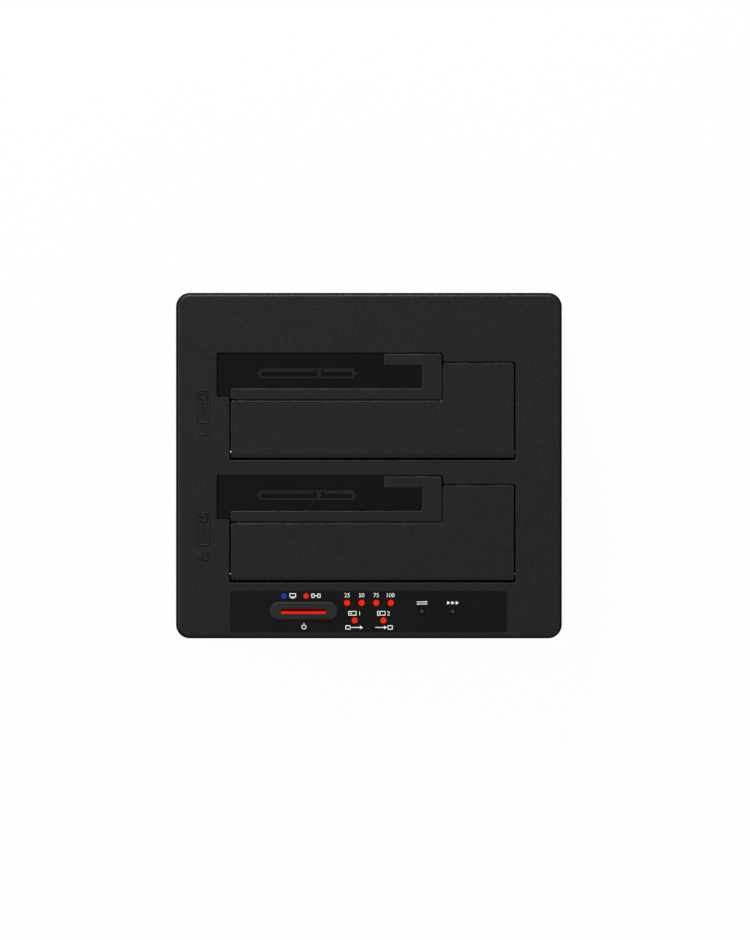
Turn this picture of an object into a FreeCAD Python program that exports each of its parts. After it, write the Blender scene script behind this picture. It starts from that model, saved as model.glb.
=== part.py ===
"""Two-bay drive duplicator dock, in millimetres.

Frame: origin on the table under the middle of the case, +X to the right, +Y to the rear
(ports), +Z up. Each bay takes a small drive through its open slot, or a large drive that
pushes down a sprung door together with the guide frame screwed to it.
"""

import FreeCAD
import Part
import math
import os

V = FreeCAD.Vector
UP = V(0, 0, 1)
RIGHT = V(1, 0, 0)
REAR = V(0, 1, 0)
EPS = 1e-4
OVER = 1.0                       # how far a cutting tool runs past what it cuts

# ---- drives that the bays take -------------------------------------------------------
LARGE_DRIVE_WIDTH = 101.6
SMALL_DRIVE_WIDTH = 69.85
DRIVE_EDGE_TO_SOCKET = 30.12     # left edge of either drive to the socket's centre
LARGE_DRIVE_PLAY = 1.02          # each side of a large drive in its opening
SMALL_DRIVE_PLAY = 0.66          # each side of a small drive in its slot

# ---- margins on the top face ---------------------------------------------------------
LEFT_MARGIN = 14.23              # case side to the bays' openings
RIGHT_MARGIN = 16.13
REAR_MARGIN = 20.87
BAY_BRIDGE = 5.32                # case strip between the two openings
PANEL_GAP = 2.98                 # front opening to the control panel
PANEL_DEPTH = 14.2
FRONT_MARGIN = 2.27              # control panel to the case front

# ---- bay opening, measured from its rear edge forwards --------------------------------
OPENING_DEPTH = 37.18
OPENING_CORNER_R = 0.4
OPENING_STEP_R = 0.6             # where the case juts into the opening
REAR_STEP = 3.13                 # the opening's right part starts this much further forward
SMALL_SLOT_DEPTH = 12.30         # rear edge to the guide frame's front bar
NOTCH_DEPTH = 15.23              # left notch
NOTCH_WIDTH = 4.4
SOCKET_FROM_REAR = 6.95
BAY_COUNT = 2

# ---- case shells ---------------------------------------------------------------------
CORNER_R = 4.8
TOP_EDGE_R = 1.5
BOTTOM_EDGE_R = 1.5
RIM_R = 0.3                      # softened edges of openings, doors and frames
WALL = 2.2
TOP_WALL = 2.4
TRAY_FLOOR = 2.2
TRAY_HEIGHT = 12.5               # base tray, underside to parting line
PARTING_CHAMFER = 0.3
LIP_WALL = 1.05
LIP_RISE = 1.5
LIP_PLAY = 0.15
LIP_ROOT = 4.0                   # how far the lip's root runs down inside the tray wall
FOOT_PROUD = 1.5
FOOT_R = 5.0
FOOT_RECESS = 0.5
FOOT_PLAY = 0.1
FOOT_EDGE_R = 0.4

# ---- corner columns and case screws ---------------------------------------------------
COLUMN_INSET = 7.0
COLUMN_R = 3.4
TRAY_COLUMN_R = 4.2
TRAY_COLUMN_RISE = 5.8           # above the tray floor
GUSSET = 1.2
GUSSET_ABOVE_LIP = 1.5
CASE_SCREW_R = 1.25
CASE_SCREW_LENGTH = 12.0
CASE_SCREW_HEAD_R = 2.7
CASE_SCREW_HEAD_H = 2.0
CASE_SCREW_SEAT = 2.5            # tray column left above the screw head
HEAD_PLAY = 0.3
SHANK_PLAY = 0.4

CROWN_SHARE = 0.35               # rounding of a screw head as a share of its height
CROSS_SHARE = 0.55               # cross recess as a share of the head's radius and height
SLIT_SHARE = 0.11

# ---- vents in the tray ----------------------------------------------------------------
VENT_COUNT = 9
VENT_PITCH = 8.0
VENT_WIDTH = 2.4
VENT_LENGTH = 24.0
VENT_ROW_GAP = 16.0              # between the two rows

# ---- stack from the tray floor up -----------------------------------------------------
STANDOFF = 3.8
STANDOFF_R = 3.0
BOARD_THICKNESS = 1.6
BOARD_SIDE_CLEARANCE = 1.8
BOARD_REAR_CLEARANCE = 0.6
BOARD_FRONT_CLEARANCE = 5.8
BOARD_CORNER_R = 2.0
BOARD_HOLE_INSET_X = 5.0
BOARD_HOLE_INSET_Y = 6.0
BOARD_SCREW_R = 1.1
BOARD_SCREW_LENGTH = 5.0
BOARD_SCREW_HEAD_R = 2.2
BOARD_SCREW_HEAD_H = 1.4
SOCKET_BASE_HEIGHT = 5.2
LINER_GAP = 0.2                  # socket base to the liner floor
WELL_DEPTH = 43.6                # liner floor's top to the cover's underside

# ---- bay liner ------------------------------------------------------------------------
LINER_WALL = 1.2
LINER_FLOOR = 1.5
LINER_SIDE_RELIEF = 0.3          # liner walls stand this far outside the opening
LINER_FRONT_RELIEF = 1.05
LINER_REAR_RELIEF = 0.87
TAB_LENGTH = 7.5
TAB_WIDTH = 7.0
TAB_THICKNESS = 2.0
TAB_DROP = 9.6                   # below the cover's underside
TAB_INSET = 9.0                  # from the opening's front and rear edges
LINER_BOSS_R = 2.9
LINER_SCREW_R = 1.1
LINER_SCREW_LENGTH = 8.0
LINER_SCREW_HEAD_R = 2.2
LINER_SCREW_HEAD_H = 1.5
PILOT_EXTRA = 1.0

# ---- door and hinge -------------------------------------------------------------------
DOOR_THICKNESS = 2.0
DOOR_REAR_GAP = 0.35
DOOR_SIDE_GAP_LEFT = 0.45
DOOR_SIDE_GAP_RIGHT = 0.53
DOOR_FRONT_GAP = 0.8
HINGE_DROP = 3.6                 # top face to the hinge axis
PIN_R = 1.0
PIN_RUNNING_CLEARANCE = 0.05
BARREL_R = 1.8
DOOR_CORNER_R = 0.4
DOOR_LIP_LENGTH = 1.15           # sloping strip along the front edge
DOOR_LIP_DROP = 0.36
DOOR_LIP_R = 0.35                # rounded front edge below the strip
DOOR_RIB = 1.2
DOOR_RIB_DEPTH = 1.1
DOOR_RIB_COUNT = 4
STOP_TAB_WIDTH = 4.0
STOP_TAB_REACH = 1.4
STOP_TAB_THICKNESS = 1.4
STOP_TAB_GAP = 0.1
STOP_TAB_INSET = 4.5             # from the ends of the door's right part
PIN_BLOCK_HALF = 2.6
PIN_BLOCK_DEPTH = 8.0
PIN_BLOCK_GAP = 0.2

# ---- guide frame for small drives -------------------------------------------------------
GUIDE_THICKNESS = 3.5
GUIDE_BAR = 3.72                 # width of the front bar
GUIDE_HOOK = 3.94                # width of the rear hook
GUIDE_SIDE = 6.9                 # width of the right bar
GUIDE_DOOR_GAP = 0.58
GUIDE_CASE_GAP = 0.5
HOOK_LENGTH = 20.06
GUIDE_CORNER_R = 0.7
GUIDE_INNER_R = 0.4
LEDGE_THICKNESS = 1.5
LEDGE_RIB = 2.2
LEDGE_OVERLAP = 3.2              # how far the door's ledge reaches under the frame
SIDE_LEDGE_OVERLAP = 5.1         # the same under the frame's right bar
LEDGE_END_INSET = 2.0
GUIDE_SCREW_R = 0.75
GUIDE_SCREW_LENGTH = 3.6
GUIDE_SCREW_HEAD_R = 1.4
GUIDE_SCREW_HEAD_H = 0.9
GUIDE_SCREW_COUNT = 3            # along the front bar, and one more in the right bar

# ---- door spring ------------------------------------------------------------------------
SPRING_WIRE_R = 0.175
SPRING_TURNS = 8.25              # whole turns and a quarter, so that the legs stand apart
SPRING_PITCH = 0.45
SPRING_PLAY = 0.03               # leg under the door plate
SPRING_DOOR_LEG = 9.0
SPRING_FRAME_LEG = 8.0
SPRING_GAP = 10.0                # break in the hinge barrel
SPRING_SEAT_WIDTH = 3.0
SPRING_SEAT_HEIGHT = 3.5

# ---- drive socket -----------------------------------------------------------------------
SOCKET_BASE_LENGTH = 42.4
SOCKET_BASE_WIDTH = 6.4
NOSE_LENGTH = 33.16
NOSE_WIDTH = 3.44
NOSE_RISE = 5.5                  # above the liner floor
NOSE_PLAY = 0.2
NOSE_END_WALL = 0.85
POWER_SLOT_LENGTH = 19.25
DATA_SLOT_LENGTH = 10.9
SLOT_WIDTH = 1.6
SLOT_REAR_WALL = 1.2
KEY_LENGTH = 1.35
KEY_DEPTH = 0.6
SLOT_FLOOR = 0.4                 # slot bottom above the liner floor's underside
NUB_LENGTH = 0.75
NUB_WIDTH = 1.0
CONTACT_PITCH = 1.27
CONTACT_WIDTH = 0.55
CONTACT_THICKNESS = 0.2
CONTACT_BELOW_TOP = 2.6
POWER_CONTACT_COUNT = 15
DATA_CONTACT_COUNT = 7

# ---- small parts on the main board --------------------------------------------------------
CHIP_MARGIN = 9.0                # drive sockets' right ends to the bridge chip's middle
BRIDGE_CHIP_SIZE = (10.0, 10.0, 1.4)
BRIDGE_LEAD_COUNT = 16
FINE_PITCH = 0.5
FIRMWARE_STEP = 18.0             # bridge chip to the firmware chip
FIRMWARE_CHIP_SIZE = (5.0, 4.0, 1.5)
FIRMWARE_LEAD_COUNT = 4
LEAD_LENGTH = 1.0
LEAD_THICKNESS = 0.3
LEAD_SHARE = 0.4                 # a lead's width as a share of its pitch
CRYSTAL_STEP = 11.0
CRYSTAL_LENGTH = 11.2
CRYSTAL_WIDTH = 3.8
CRYSTAL_HEIGHT = 3.4
INDUCTOR_COUNT = 2
INDUCTOR_STEP = 23.0
INDUCTOR_PITCH = 11.0
INDUCTOR_SIZE = 7.0
INDUCTOR_HEIGHT = 3.6
INDUCTOR_CORNER_R = 1.2
INDUCTOR_EDGE_R = 0.4
CHIP_ROW_COUNT = 4
ROW_CHIP_COUNT = 8
CHIP_ROW_PITCH = 4.0
CHIP_PITCH = 3.2
SMALL_CHIP_SIZE = (1.6, 0.8, 0.6)
CAN_SIZES = ((4.0, 10.0), (4.0, 10.0), (3.15, 7.7), (3.15, 7.7))
CAN_FROM_REAR = 6.5
CAN_FROM_SIDE = 10.0
CAN_GAP = 3.0
CAN_EDGE_SHARE = 0.15                  # edge radius as a share of the can's own
CAN_SCORE = 0.2
CAN_SCORE_SHARE = 0.6

# ---- rear ports -------------------------------------------------------------------------
PORT_RECESS = 0.3                # port faces behind the case's rear face
PORT_PLAY = 0.3
JACK_X = 38.0
JACK_WIDTH = 9.0
JACK_LENGTH = 14.0
JACK_HEIGHT = 11.0
JACK_BORE_R = 3.2
JACK_BORE_DEPTH = 11.0
JACK_BORE_Z = 6.5                # above the board
JACK_PIN_R = 1.0
JACK_PIN_LENGTH = 9.5
USB_X = 14.0
USB_WIDTH = 12.1
USB_LENGTH = 17.0
USB_HEIGHT = 12.9
USB_SHELL = 0.4
USB_MOUTH_WIDTH = 8.45
USB_MOUTH_HEIGHT = 7.8
USB_MOUTH_CHAMFER = 1.6
USB_UPPER_WIDTH = 5.6
USB_UPPER_HEIGHT = 2.8
USB_MOUTH_Z = 1.1                # mouth's lower edge above the board
USB_TONGUE_WIDTH = 5.6
USB_TONGUE_HEIGHT = 3.2
USB_TONGUE_LENGTH = 9.0
USB_TOP_TONGUE_HEIGHT = 1.0
USB_BLOCK = 4.0

# ---- control panel ----------------------------------------------------------------------
PANEL_LEFT = 18.83               # case side to the panel's left edge
PANEL_WIDTH = 96.0
PANEL_CORNER_R = 1.0
PANEL_THICKNESS = 1.1
PANEL_EDGE_R = 0.1
PANEL_RECESS = 0.1               # panel face below the top face
PANEL_PLAY = 0.1
MODE_LIGHT_R = 0.87
STATUS_LIGHT_R = 1.0
LIGHT_PROUD = 0.05
# places on the panel: distance from its left edge and from its rear edge
COMPUTER_LIGHT = (18.62, 1.74)
COPY_LIGHT = (26.33, 1.74)
PROGRESS_LIGHT = (40.6, 4.13)
PROGRESS_PITCH = 5.05
PROGRESS_COUNT = 4
BAY_LIGHT = (43.2, 10.21)
BAY_LIGHT_PITCH = 10.04
POWER_BUTTON = (25.5, 6.9)
PUSH_BUTTONS_FROM_REAR = 7.2
PUSH_BUTTON_PITCH = 10.75
PUSH_BUTTONS_SHIFT = 0.88        # their middle, left of midway from the last light to the screw

# ---- power button -----------------------------------------------------------------------
POWER_LENGTH = 23.8
POWER_WIDTH = 6.3
POWER_PROUD = 0.7
POWER_EDGE_R = 0.6
POWER_TRAVEL = 1.5
POWER_FLANGE = 0.7
FLANGE_THICKNESS = 1.2
FLANGE_GAP = 0.2
BUTTON_PLAY = 0.15
BAR_LENGTH = 15.5
BAR_WIDTH = 1.65
BAR_SHIFT = 0.19                 # its middle in front of the button's
BAR_RECESS = 0.45
BAR_HEIGHT = 2.2
STEM_R = 2.0
STEM_LENGTH = 0.7
SWITCH_SIZE = 8.0
SWITCH_SHARE = 0.75              # the switch body's width as a share of its length
PRESS_GAP = 0.2                  # button's stem to the switch body when fully pressed
PLUNGER_SIZE = 3.0
PLUNGER_PLAY = 0.1
PLUNGER_DEPTH = 1.5              # plunger inside the switch at rest
PLUNGER_END_GAP = 0.3            # plunger's end to the well's floor when fully pressed

# ---- mode and start buttons -------------------------------------------------------------
TIP_R = 1.05
TIP_DOME = 0.95
TIP_PROUD = 0.15
TIP_HOLE_R = 1.2
TIP_FLANGE_R = 1.7
TIP_FLANGE_THICKNESS = 1.0
TIP_TRAVEL = 0.5
TACT_SIZE = 6.0
TACT_HEIGHT = 3.6
TACT_CORNER_R = 0.4
TACT_PLUNGER_R = 1.75
TACT_PLUNGER_SPARE = 0.5         # plunger still above the body when fully pressed
TACT_PLUNGER_DEPTH = 1.7

# ---- panel board ------------------------------------------------------------------------
PANEL_BOARD_DROP = 8.6           # cover's underside to the board's top
PANEL_BOARD_THICKNESS = 1.2
PANEL_BOARD_SIDE_INSET = 2.0     # panel's ends to the board's
PANEL_BOARD_EDGE_INSET = 0.5     # panel's rear and front edges to the board's
PANEL_BOARD_CORNER_R = 1.0
PANEL_BOSS_R = 2.6
PANEL_BOSS_INSET = 4.0           # from the board's ends
PANEL_SCREW_R = 1.1
PANEL_SCREW_LENGTH = 6.0
PANEL_SCREW_HEAD_R = 2.0
PANEL_SCREW_HEAD_H = 1.3
LED_LENGTH = 2.0
LED_WIDTH = 1.25
LED_HEIGHT = 0.8
POWER_LED_SPREAD = 11.0          # the two lamps under the power button's light bar

# ---- ribbon between the boards ------------------------------------------------------------
RIBBON_WIDTH = 10.0
RIBBON_THICKNESS = 0.4
RIBBON_SHIFT = 3.0               # sideways step of its S-bend
RIBBON_BEND_R = 6.0
RIBBON_PLUG_LENGTH = 12.4
RIBBON_PLUG_WIDTH = 3.6
RIBBON_PLUG_HEIGHT = 2.6

# ---- derived places -----------------------------------------------------------------------
opening_width = LARGE_DRIVE_WIDTH + 2 * LARGE_DRIVE_PLAY
small_slot_width = SMALL_DRIVE_WIDTH + 2 * SMALL_DRIVE_PLAY
bay_pitch = OPENING_DEPTH + BAY_BRIDGE
case_width = LEFT_MARGIN + opening_width + RIGHT_MARGIN
case_depth = (REAR_MARGIN + OPENING_DEPTH + (BAY_COUNT - 1) * bay_pitch
              + PANEL_GAP + PANEL_DEPTH + FRONT_MARGIN)
left, right = -case_width / 2, case_width / 2
front, rear = -case_depth / 2, case_depth / 2

tray_z = FOOT_PROUD
floor_z = tray_z + TRAY_FLOOR
split_z = tray_z + TRAY_HEIGHT
board_z = floor_z + STANDOFF
board_top = board_z + BOARD_THICKNESS
liner_z = board_top + SOCKET_BASE_HEIGHT + LINER_GAP
well_z = liner_z + LINER_FLOOR
under_z = well_z + WELL_DEPTH            # underside of the cover's top wall
top_z = under_z + TOP_WALL
hinge_z = top_z - HINGE_DROP
door_under = top_z - DOOR_THICKNESS
lip_z = split_z + LIP_RISE

open_left = left + LEFT_MARGIN
open_right = open_left + opening_width
socket_x = open_left + LARGE_DRIVE_PLAY + DRIVE_EDGE_TO_SOCKET
small_right = open_left + small_slot_width
guide_right = small_right + GUIDE_SIDE
step_x = guide_right + GUIDE_CASE_GAP
door_left = open_left + NOTCH_WIDTH + DOOR_SIDE_GAP_LEFT
door_right = open_right - DOOR_SIDE_GAP_RIGHT
door_inner_x = guide_right + GUIDE_DOOR_GAP
liner_left = open_left - LINER_SIDE_RELIEF
liner_right = open_right + LINER_SIDE_RELIEF

panel_left = left + PANEL_LEFT
panel_right = panel_left + PANEL_WIDTH
panel_rear = front + FRONT_MARGIN + PANEL_DEPTH
panel_z = top_z - PANEL_RECESS - PANEL_THICKNESS
panel_face = top_z - PANEL_RECESS
panel_board_top = under_z - PANEL_BOARD_DROP
panel_board_z = panel_board_top - PANEL_BOARD_THICKNESS
panel_mid_y = panel_rear - PANEL_DEPTH / 2
panel_mid_x = (panel_left + panel_right) / 2

column_x = right - COLUMN_INSET
column_y = rear - COLUMN_INSET
tray_column_z = floor_z + TRAY_COLUMN_RISE
board_half = column_x - TRAY_COLUMN_R - BOARD_SIDE_CLEARANCE
board_rear = rear - WALL - BOARD_REAR_CLEARANCE
board_front = front + WALL + BOARD_FRONT_CLEARANCE
port_face = rear - PORT_RECESS

bridge_place = (socket_x + SOCKET_BASE_LENGTH / 2 + CHIP_MARGIN,
                rear - REAR_MARGIN - SOCKET_FROM_REAR - bay_pitch / 2)

power_stem_z = under_z - FLANGE_GAP - FLANGE_THICKNESS - STEM_LENGTH
power_switch_top = power_stem_z - POWER_TRAVEL - PRESS_GAP
tact_top = panel_board_top + TACT_HEIGHT
tact_plunger_top = tact_top + TIP_TRAVEL + TACT_PLUNGER_SPARE

spring_x = (door_left + door_right) / 2
spring_coil_r = door_under - SPRING_PLAY - SPRING_WIRE_R - hinge_z


# ---- shape helpers ------------------------------------------------------------------------
def box(x0, x1, y0, y1, z0, z1):
    return Part.makeBox(x1 - x0, y1 - y0, z1 - z0, V(x0, y0, z0))


def rod(x, y, z0, z1, radius):
    return Part.makeCylinder(radius, z1 - z0, V(x, y, z0), UP)


def rod_along_x(x0, x1, y, z, radius):
    return Part.makeCylinder(radius, x1 - x0, V(x0, y, z), RIGHT)


def rod_along_y(x, y0, y1, z, radius):
    return Part.makeCylinder(radius, y1 - y0, V(x, y0, z), REAR)


def rounded_wire(corners, z):
    """A closed wire through (x, y, radius) corners, each rounded by its own radius."""
    edges = []
    ends = []
    count = len(corners)
    for i, (x, y, radius) in enumerate(corners):
        here = V(x, y, z)
        before = (V(*corners[i - 1][:2], z) - here).normalize()
        after = (V(*corners[(i + 1) % count][:2], z) - here).normalize()
        half_turn = before.getAngle(after) / 2
        cut = radius / math.tan(half_turn)
        start, end = here + before * cut, here + after * cut
        middle_way = (before + after).normalize()
        reach = radius / math.sin(half_turn) - radius
        ends.append((start, here + middle_way * reach, end, radius))
    for i, (start, middle, end, radius) in enumerate(ends):
        if radius > 0:
            edges.append(Part.Arc(start, middle, end).toShape())
        following = ends[(i + 1) % count][0]
        if (following - end).Length > EPS:
            edges.append(Part.LineSegment(end, following).toShape())
    return Part.Wire(edges)


def plate(corners, z0, z1):
    return Part.Face(rounded_wire(corners, z0)).extrude(V(0, 0, z1 - z0))


def slab(x0, x1, y0, y1, z0, z1, radius):
    """A block with rounded upright corners."""
    return plate([(x0, y0, radius), (x1, y0, radius), (x1, y1, radius), (x0, y1, radius)], z0, z1)


def case_slab(inset, z0, z1):
    return slab(left + inset, right - inset, front + inset, rear - inset, z0, z1, CORNER_R - inset)


def pill(x, y, length, width, z0, z1):
    """A block with fully round ends, along X, centred on x, y."""
    straight = (length - width) / 2
    body = box(x - straight, x + straight, y - width / 2, y + width / 2, z0, z1)
    ends = [rod(x + side * straight, y, z0, z1, width / 2) for side in (-1, 1)]
    return body.multiFuse(ends).removeSplitter()


def side_profile(points, x0, x1):
    """A prism along X from (y, z) points."""
    outline = Part.makePolygon([V(x0, y, z) for y, z in points + points[:1]])
    return Part.Face(outline).extrude(V(x1 - x0, 0, 0))


def level_edges(shape, z, wanted=lambda edge: True):
    """Edges that lie wholly at height z."""
    found = []
    for edge in shape.Edges:
        bounds = edge.BoundBox
        if abs(bounds.ZMin - z) < EPS and abs(bounds.ZMax - z) < EPS and wanted(edge):
            found.append(edge)
    return found


def join(first, others):
    return first.multiFuse(others).removeSplitter() if others else first


def screw(x, y, seat_z, radius, length, head_r, head_h, direction):
    """A pan-head screw; its head's underside is at seat_z and its shank runs along direction."""
    shank = Part.makeCylinder(radius, length, V(x, y, seat_z), UP * direction)
    head = Part.makeCylinder(head_r, head_h, V(x, y, seat_z), UP * -direction)
    crown = [edge for edge in head.Edges
             if abs(edge.BoundBox.ZMin - (seat_z - direction * head_h)) < EPS
             and abs(edge.BoundBox.ZMax - (seat_z - direction * head_h)) < EPS]
    head = head.makeFillet(head_h * CROWN_SHARE, crown)
    arm, slit, depth = head_r * CROSS_SHARE, head_r * SLIT_SHARE, head_h * CROSS_SHARE
    outer_z = seat_z - direction * head_h
    low, high = sorted((outer_z - direction * EPS, outer_z + direction * depth))
    cross = [box(x - arm, x + arm, y - slit, y + slit, low, high),
             box(x - slit, x + slit, y - arm, y + arm, low, high)]
    return head.fuse(shank).removeSplitter().cut(cross[0]).cut(cross[1])


def panel_place(place):
    """A place on the panel as x, y."""
    along, back = place
    return panel_left + along, panel_rear - back


# ---- places that several pieces share -------------------------------------------------------
def bay_rear(bay):
    """Rear edge of a bay's opening; bay 0 is the rear one."""
    return rear - REAR_MARGIN - bay * bay_pitch


def hinge_y(bay):
    return bay_rear(bay) - OPENING_DEPTH + DOOR_FRONT_GAP + BARREL_R


def liner_front(bay):
    return bay_rear(bay) - OPENING_DEPTH - LINER_FRONT_RELIEF


def corner_places():
    return [(sx * column_x, sy * column_y) for sx in (-1, 1) for sy in (-1, 1)]


def board_screw_places():
    return [(sx * (board_half - BOARD_HOLE_INSET_X), y)
            for sx in (-1, 1)
            for y in (board_front + BOARD_HOLE_INSET_Y, board_rear - BOARD_HOLE_INSET_Y
                      - LINER_BOSS_R)]


def tab_places(bay):
    """Screw places of a liner's four tabs: x, y and the side that they are on."""
    ys = (bay_rear(bay) - TAB_INSET, bay_rear(bay) - OPENING_DEPTH + TAB_INSET)
    reach = LINER_WALL + TAB_LENGTH / 2
    return [(liner_left - reach, y, -1) for y in ys] + [(liner_right + reach, y, 1) for y in ys]


def guide_screw_places(bay):
    bar_y = bay_rear(bay) - SMALL_SLOT_DEPTH - GUIDE_BAR / 2
    first = door_left + LEDGE_END_INSET * 4
    step = (small_right - first) / GUIDE_SCREW_COUNT
    along_bar = [(first + i * step, bar_y) for i in range(GUIDE_SCREW_COUNT)]
    return along_bar + [((small_right + guide_right) / 2, bay_rear(bay) - SMALL_SLOT_DEPTH / 2)]


def progress_lights():
    return [panel_place((PROGRESS_LIGHT[0] + i * PROGRESS_PITCH, PROGRESS_LIGHT[1]))
            for i in range(PROGRESS_COUNT)]


def bay_lights():
    return [panel_place((BAY_LIGHT[0] + i * BAY_LIGHT_PITCH, BAY_LIGHT[1]))
            for i in range(BAY_COUNT)]


def red_lights():
    """Every red light's place and radius."""
    status = [(x, y, STATUS_LIGHT_R) for x, y in progress_lights() + bay_lights()]
    return [(*panel_place(COPY_LIGHT), MODE_LIGHT_R)] + status


def panel_screw_places():
    reach = PANEL_WIDTH / 2 - PANEL_BOARD_SIDE_INSET - PANEL_BOSS_INSET
    return [(panel_mid_x + side * reach, panel_mid_y) for side in (-1, 1)]


def push_button_places():
    """The mode and the start button, between the last light and the board's right screw."""
    middle = (progress_lights()[-1][0] + panel_screw_places()[1][0]) / 2 - PUSH_BUTTONS_SHIFT
    y = panel_rear - PUSH_BUTTONS_FROM_REAR
    return [(middle + side * PUSH_BUTTON_PITCH / 2, y) for side in (-1, 1)]


# ---- case -----------------------------------------------------------------------------------
def bay_opening(bay):
    """The stepped hole that one bay makes in the top wall."""
    back = bay_rear(bay)
    notch_x, notch_y = open_left + NOTCH_WIDTH, back - NOTCH_DEPTH
    fore, step_y = back - OPENING_DEPTH, back - REAR_STEP
    corner_r, step_r = OPENING_CORNER_R, OPENING_STEP_R
    corners = [(open_left, back, corner_r), (open_left, notch_y, corner_r),
               (notch_x, notch_y, step_r), (notch_x, fore, corner_r),
               (open_right, fore, corner_r), (open_right, step_y, DOOR_CORNER_R + DOOR_REAR_GAP),
               (step_x, step_y, step_r), (step_x, back, GUIDE_CORNER_R + DOOR_REAR_GAP)]
    return plate(corners, under_z - OVER, top_z + OVER)


def top_cover():
    shell = case_slab(0, split_z, top_z)
    shell = shell.makeFillet(TOP_EDGE_R, level_edges(shell, top_z))
    shell = shell.makeChamfer(PARTING_CHAMFER, level_edges(shell, split_z))
    shell = shell.cut(case_slab(WALL, split_z - OVER, under_z))
    for bay in range(BAY_COUNT):
        shell = shell.cut(bay_opening(bay))
    rims = level_edges(shell, top_z, within_case)
    shell = shell.makeFillet(RIM_R, rims)
    shell = shell.cut(slab(panel_left - PANEL_PLAY, panel_right + PANEL_PLAY,
                           panel_rear - PANEL_DEPTH - PANEL_PLAY, panel_rear + PANEL_PLAY,
                           panel_z, top_z + OVER, PANEL_CORNER_R + PANEL_PLAY))
    shell = join(shell, cover_bosses())
    tools = cover_pilots() + panel_holes(0, under_z - OVER, top_z) + port_cutouts()
    for tool in tools:
        shell = shell.cut(tool)
    return shell


def within_case(edge):
    """Whether an edge belongs to an opening and not to the case's own outline."""
    bounds = edge.BoundBox
    margin = 2 * TOP_EDGE_R
    return (bounds.XMin > left + margin and bounds.XMax < right - margin
            and bounds.YMin > front + margin and bounds.YMax < rear - margin)


def cover_bosses():
    """Columns and bosses that hang from the cover's underside."""
    root = under_z + TOP_WALL / 4
    solids = []
    for x, y in corner_places():
        solids.append(rod(x, y, tray_column_z, root, COLUMN_R))
        wall_x, wall_y = math.copysign(right - WALL / 2, x), math.copysign(rear - WALL / 2, y)
        low = lip_z + GUSSET_ABOVE_LIP
        solids.append(box(min(x, wall_x), max(x, wall_x), y - GUSSET / 2, y + GUSSET / 2, low, root))
        solids.append(box(x - GUSSET / 2, x + GUSSET / 2, min(y, wall_y), max(y, wall_y), low, root))
    for bay in range(BAY_COUNT):
        solids += [rod(x, y, under_z - TAB_DROP, root, LINER_BOSS_R) for x, y, _ in tab_places(bay)]
    solids += [rod(x, y, panel_board_top, under_z + EPS * 10, PANEL_BOSS_R)
               for x, y in panel_screw_places()]
    return solids


def cover_pilots():
    """Blind screw holes in the cover's bosses."""
    holes = [rod(x, y, tray_column_z, tray_column_z + CASE_SCREW_LENGTH + PILOT_EXTRA, CASE_SCREW_R)
             for x, y in corner_places()]
    tab_z = under_z - TAB_DROP
    for bay in range(BAY_COUNT):
        holes += [rod(x, y, tab_z, tab_z + LINER_SCREW_LENGTH, LINER_SCREW_R)
                  for x, y, _ in tab_places(bay)]
    holes += [rod(x, y, panel_board_top, panel_board_top + PANEL_SCREW_LENGTH, PANEL_SCREW_R)
              for x, y in panel_screw_places()]
    return holes


def panel_holes(play, z0, z1):
    """Holes for the lights and buttons through the panel, or through the wall under it."""
    holes = [rod(x, y, z0, z1, radius + play) for x, y, radius in red_lights()]
    holes.append(rod(*panel_place(COMPUTER_LIGHT), z0, z1, MODE_LIGHT_R + play))
    holes += [rod(*place, z0, z1, TIP_HOLE_R + play) for place in push_button_places()]
    size = 2 * (BUTTON_PLAY + play)
    holes.append(pill(*panel_place(POWER_BUTTON), POWER_LENGTH + size, POWER_WIDTH + size, z0, z1))
    return holes


def port_cutouts():
    """Clearance round the two rear ports, through the cover, the tray and its lip."""
    deep = WALL + LIP_PLAY + LIP_WALL + OVER
    cuts = []
    for x, width, height in ((JACK_X, JACK_WIDTH, JACK_HEIGHT), (USB_X, USB_WIDTH, USB_HEIGHT)):
        half = width / 2 + PORT_PLAY
        cuts.append(box(x - half, x + half, rear - deep, rear + OVER,
                        board_top - PORT_PLAY, board_top + height + PORT_PLAY))
    return cuts


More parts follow.
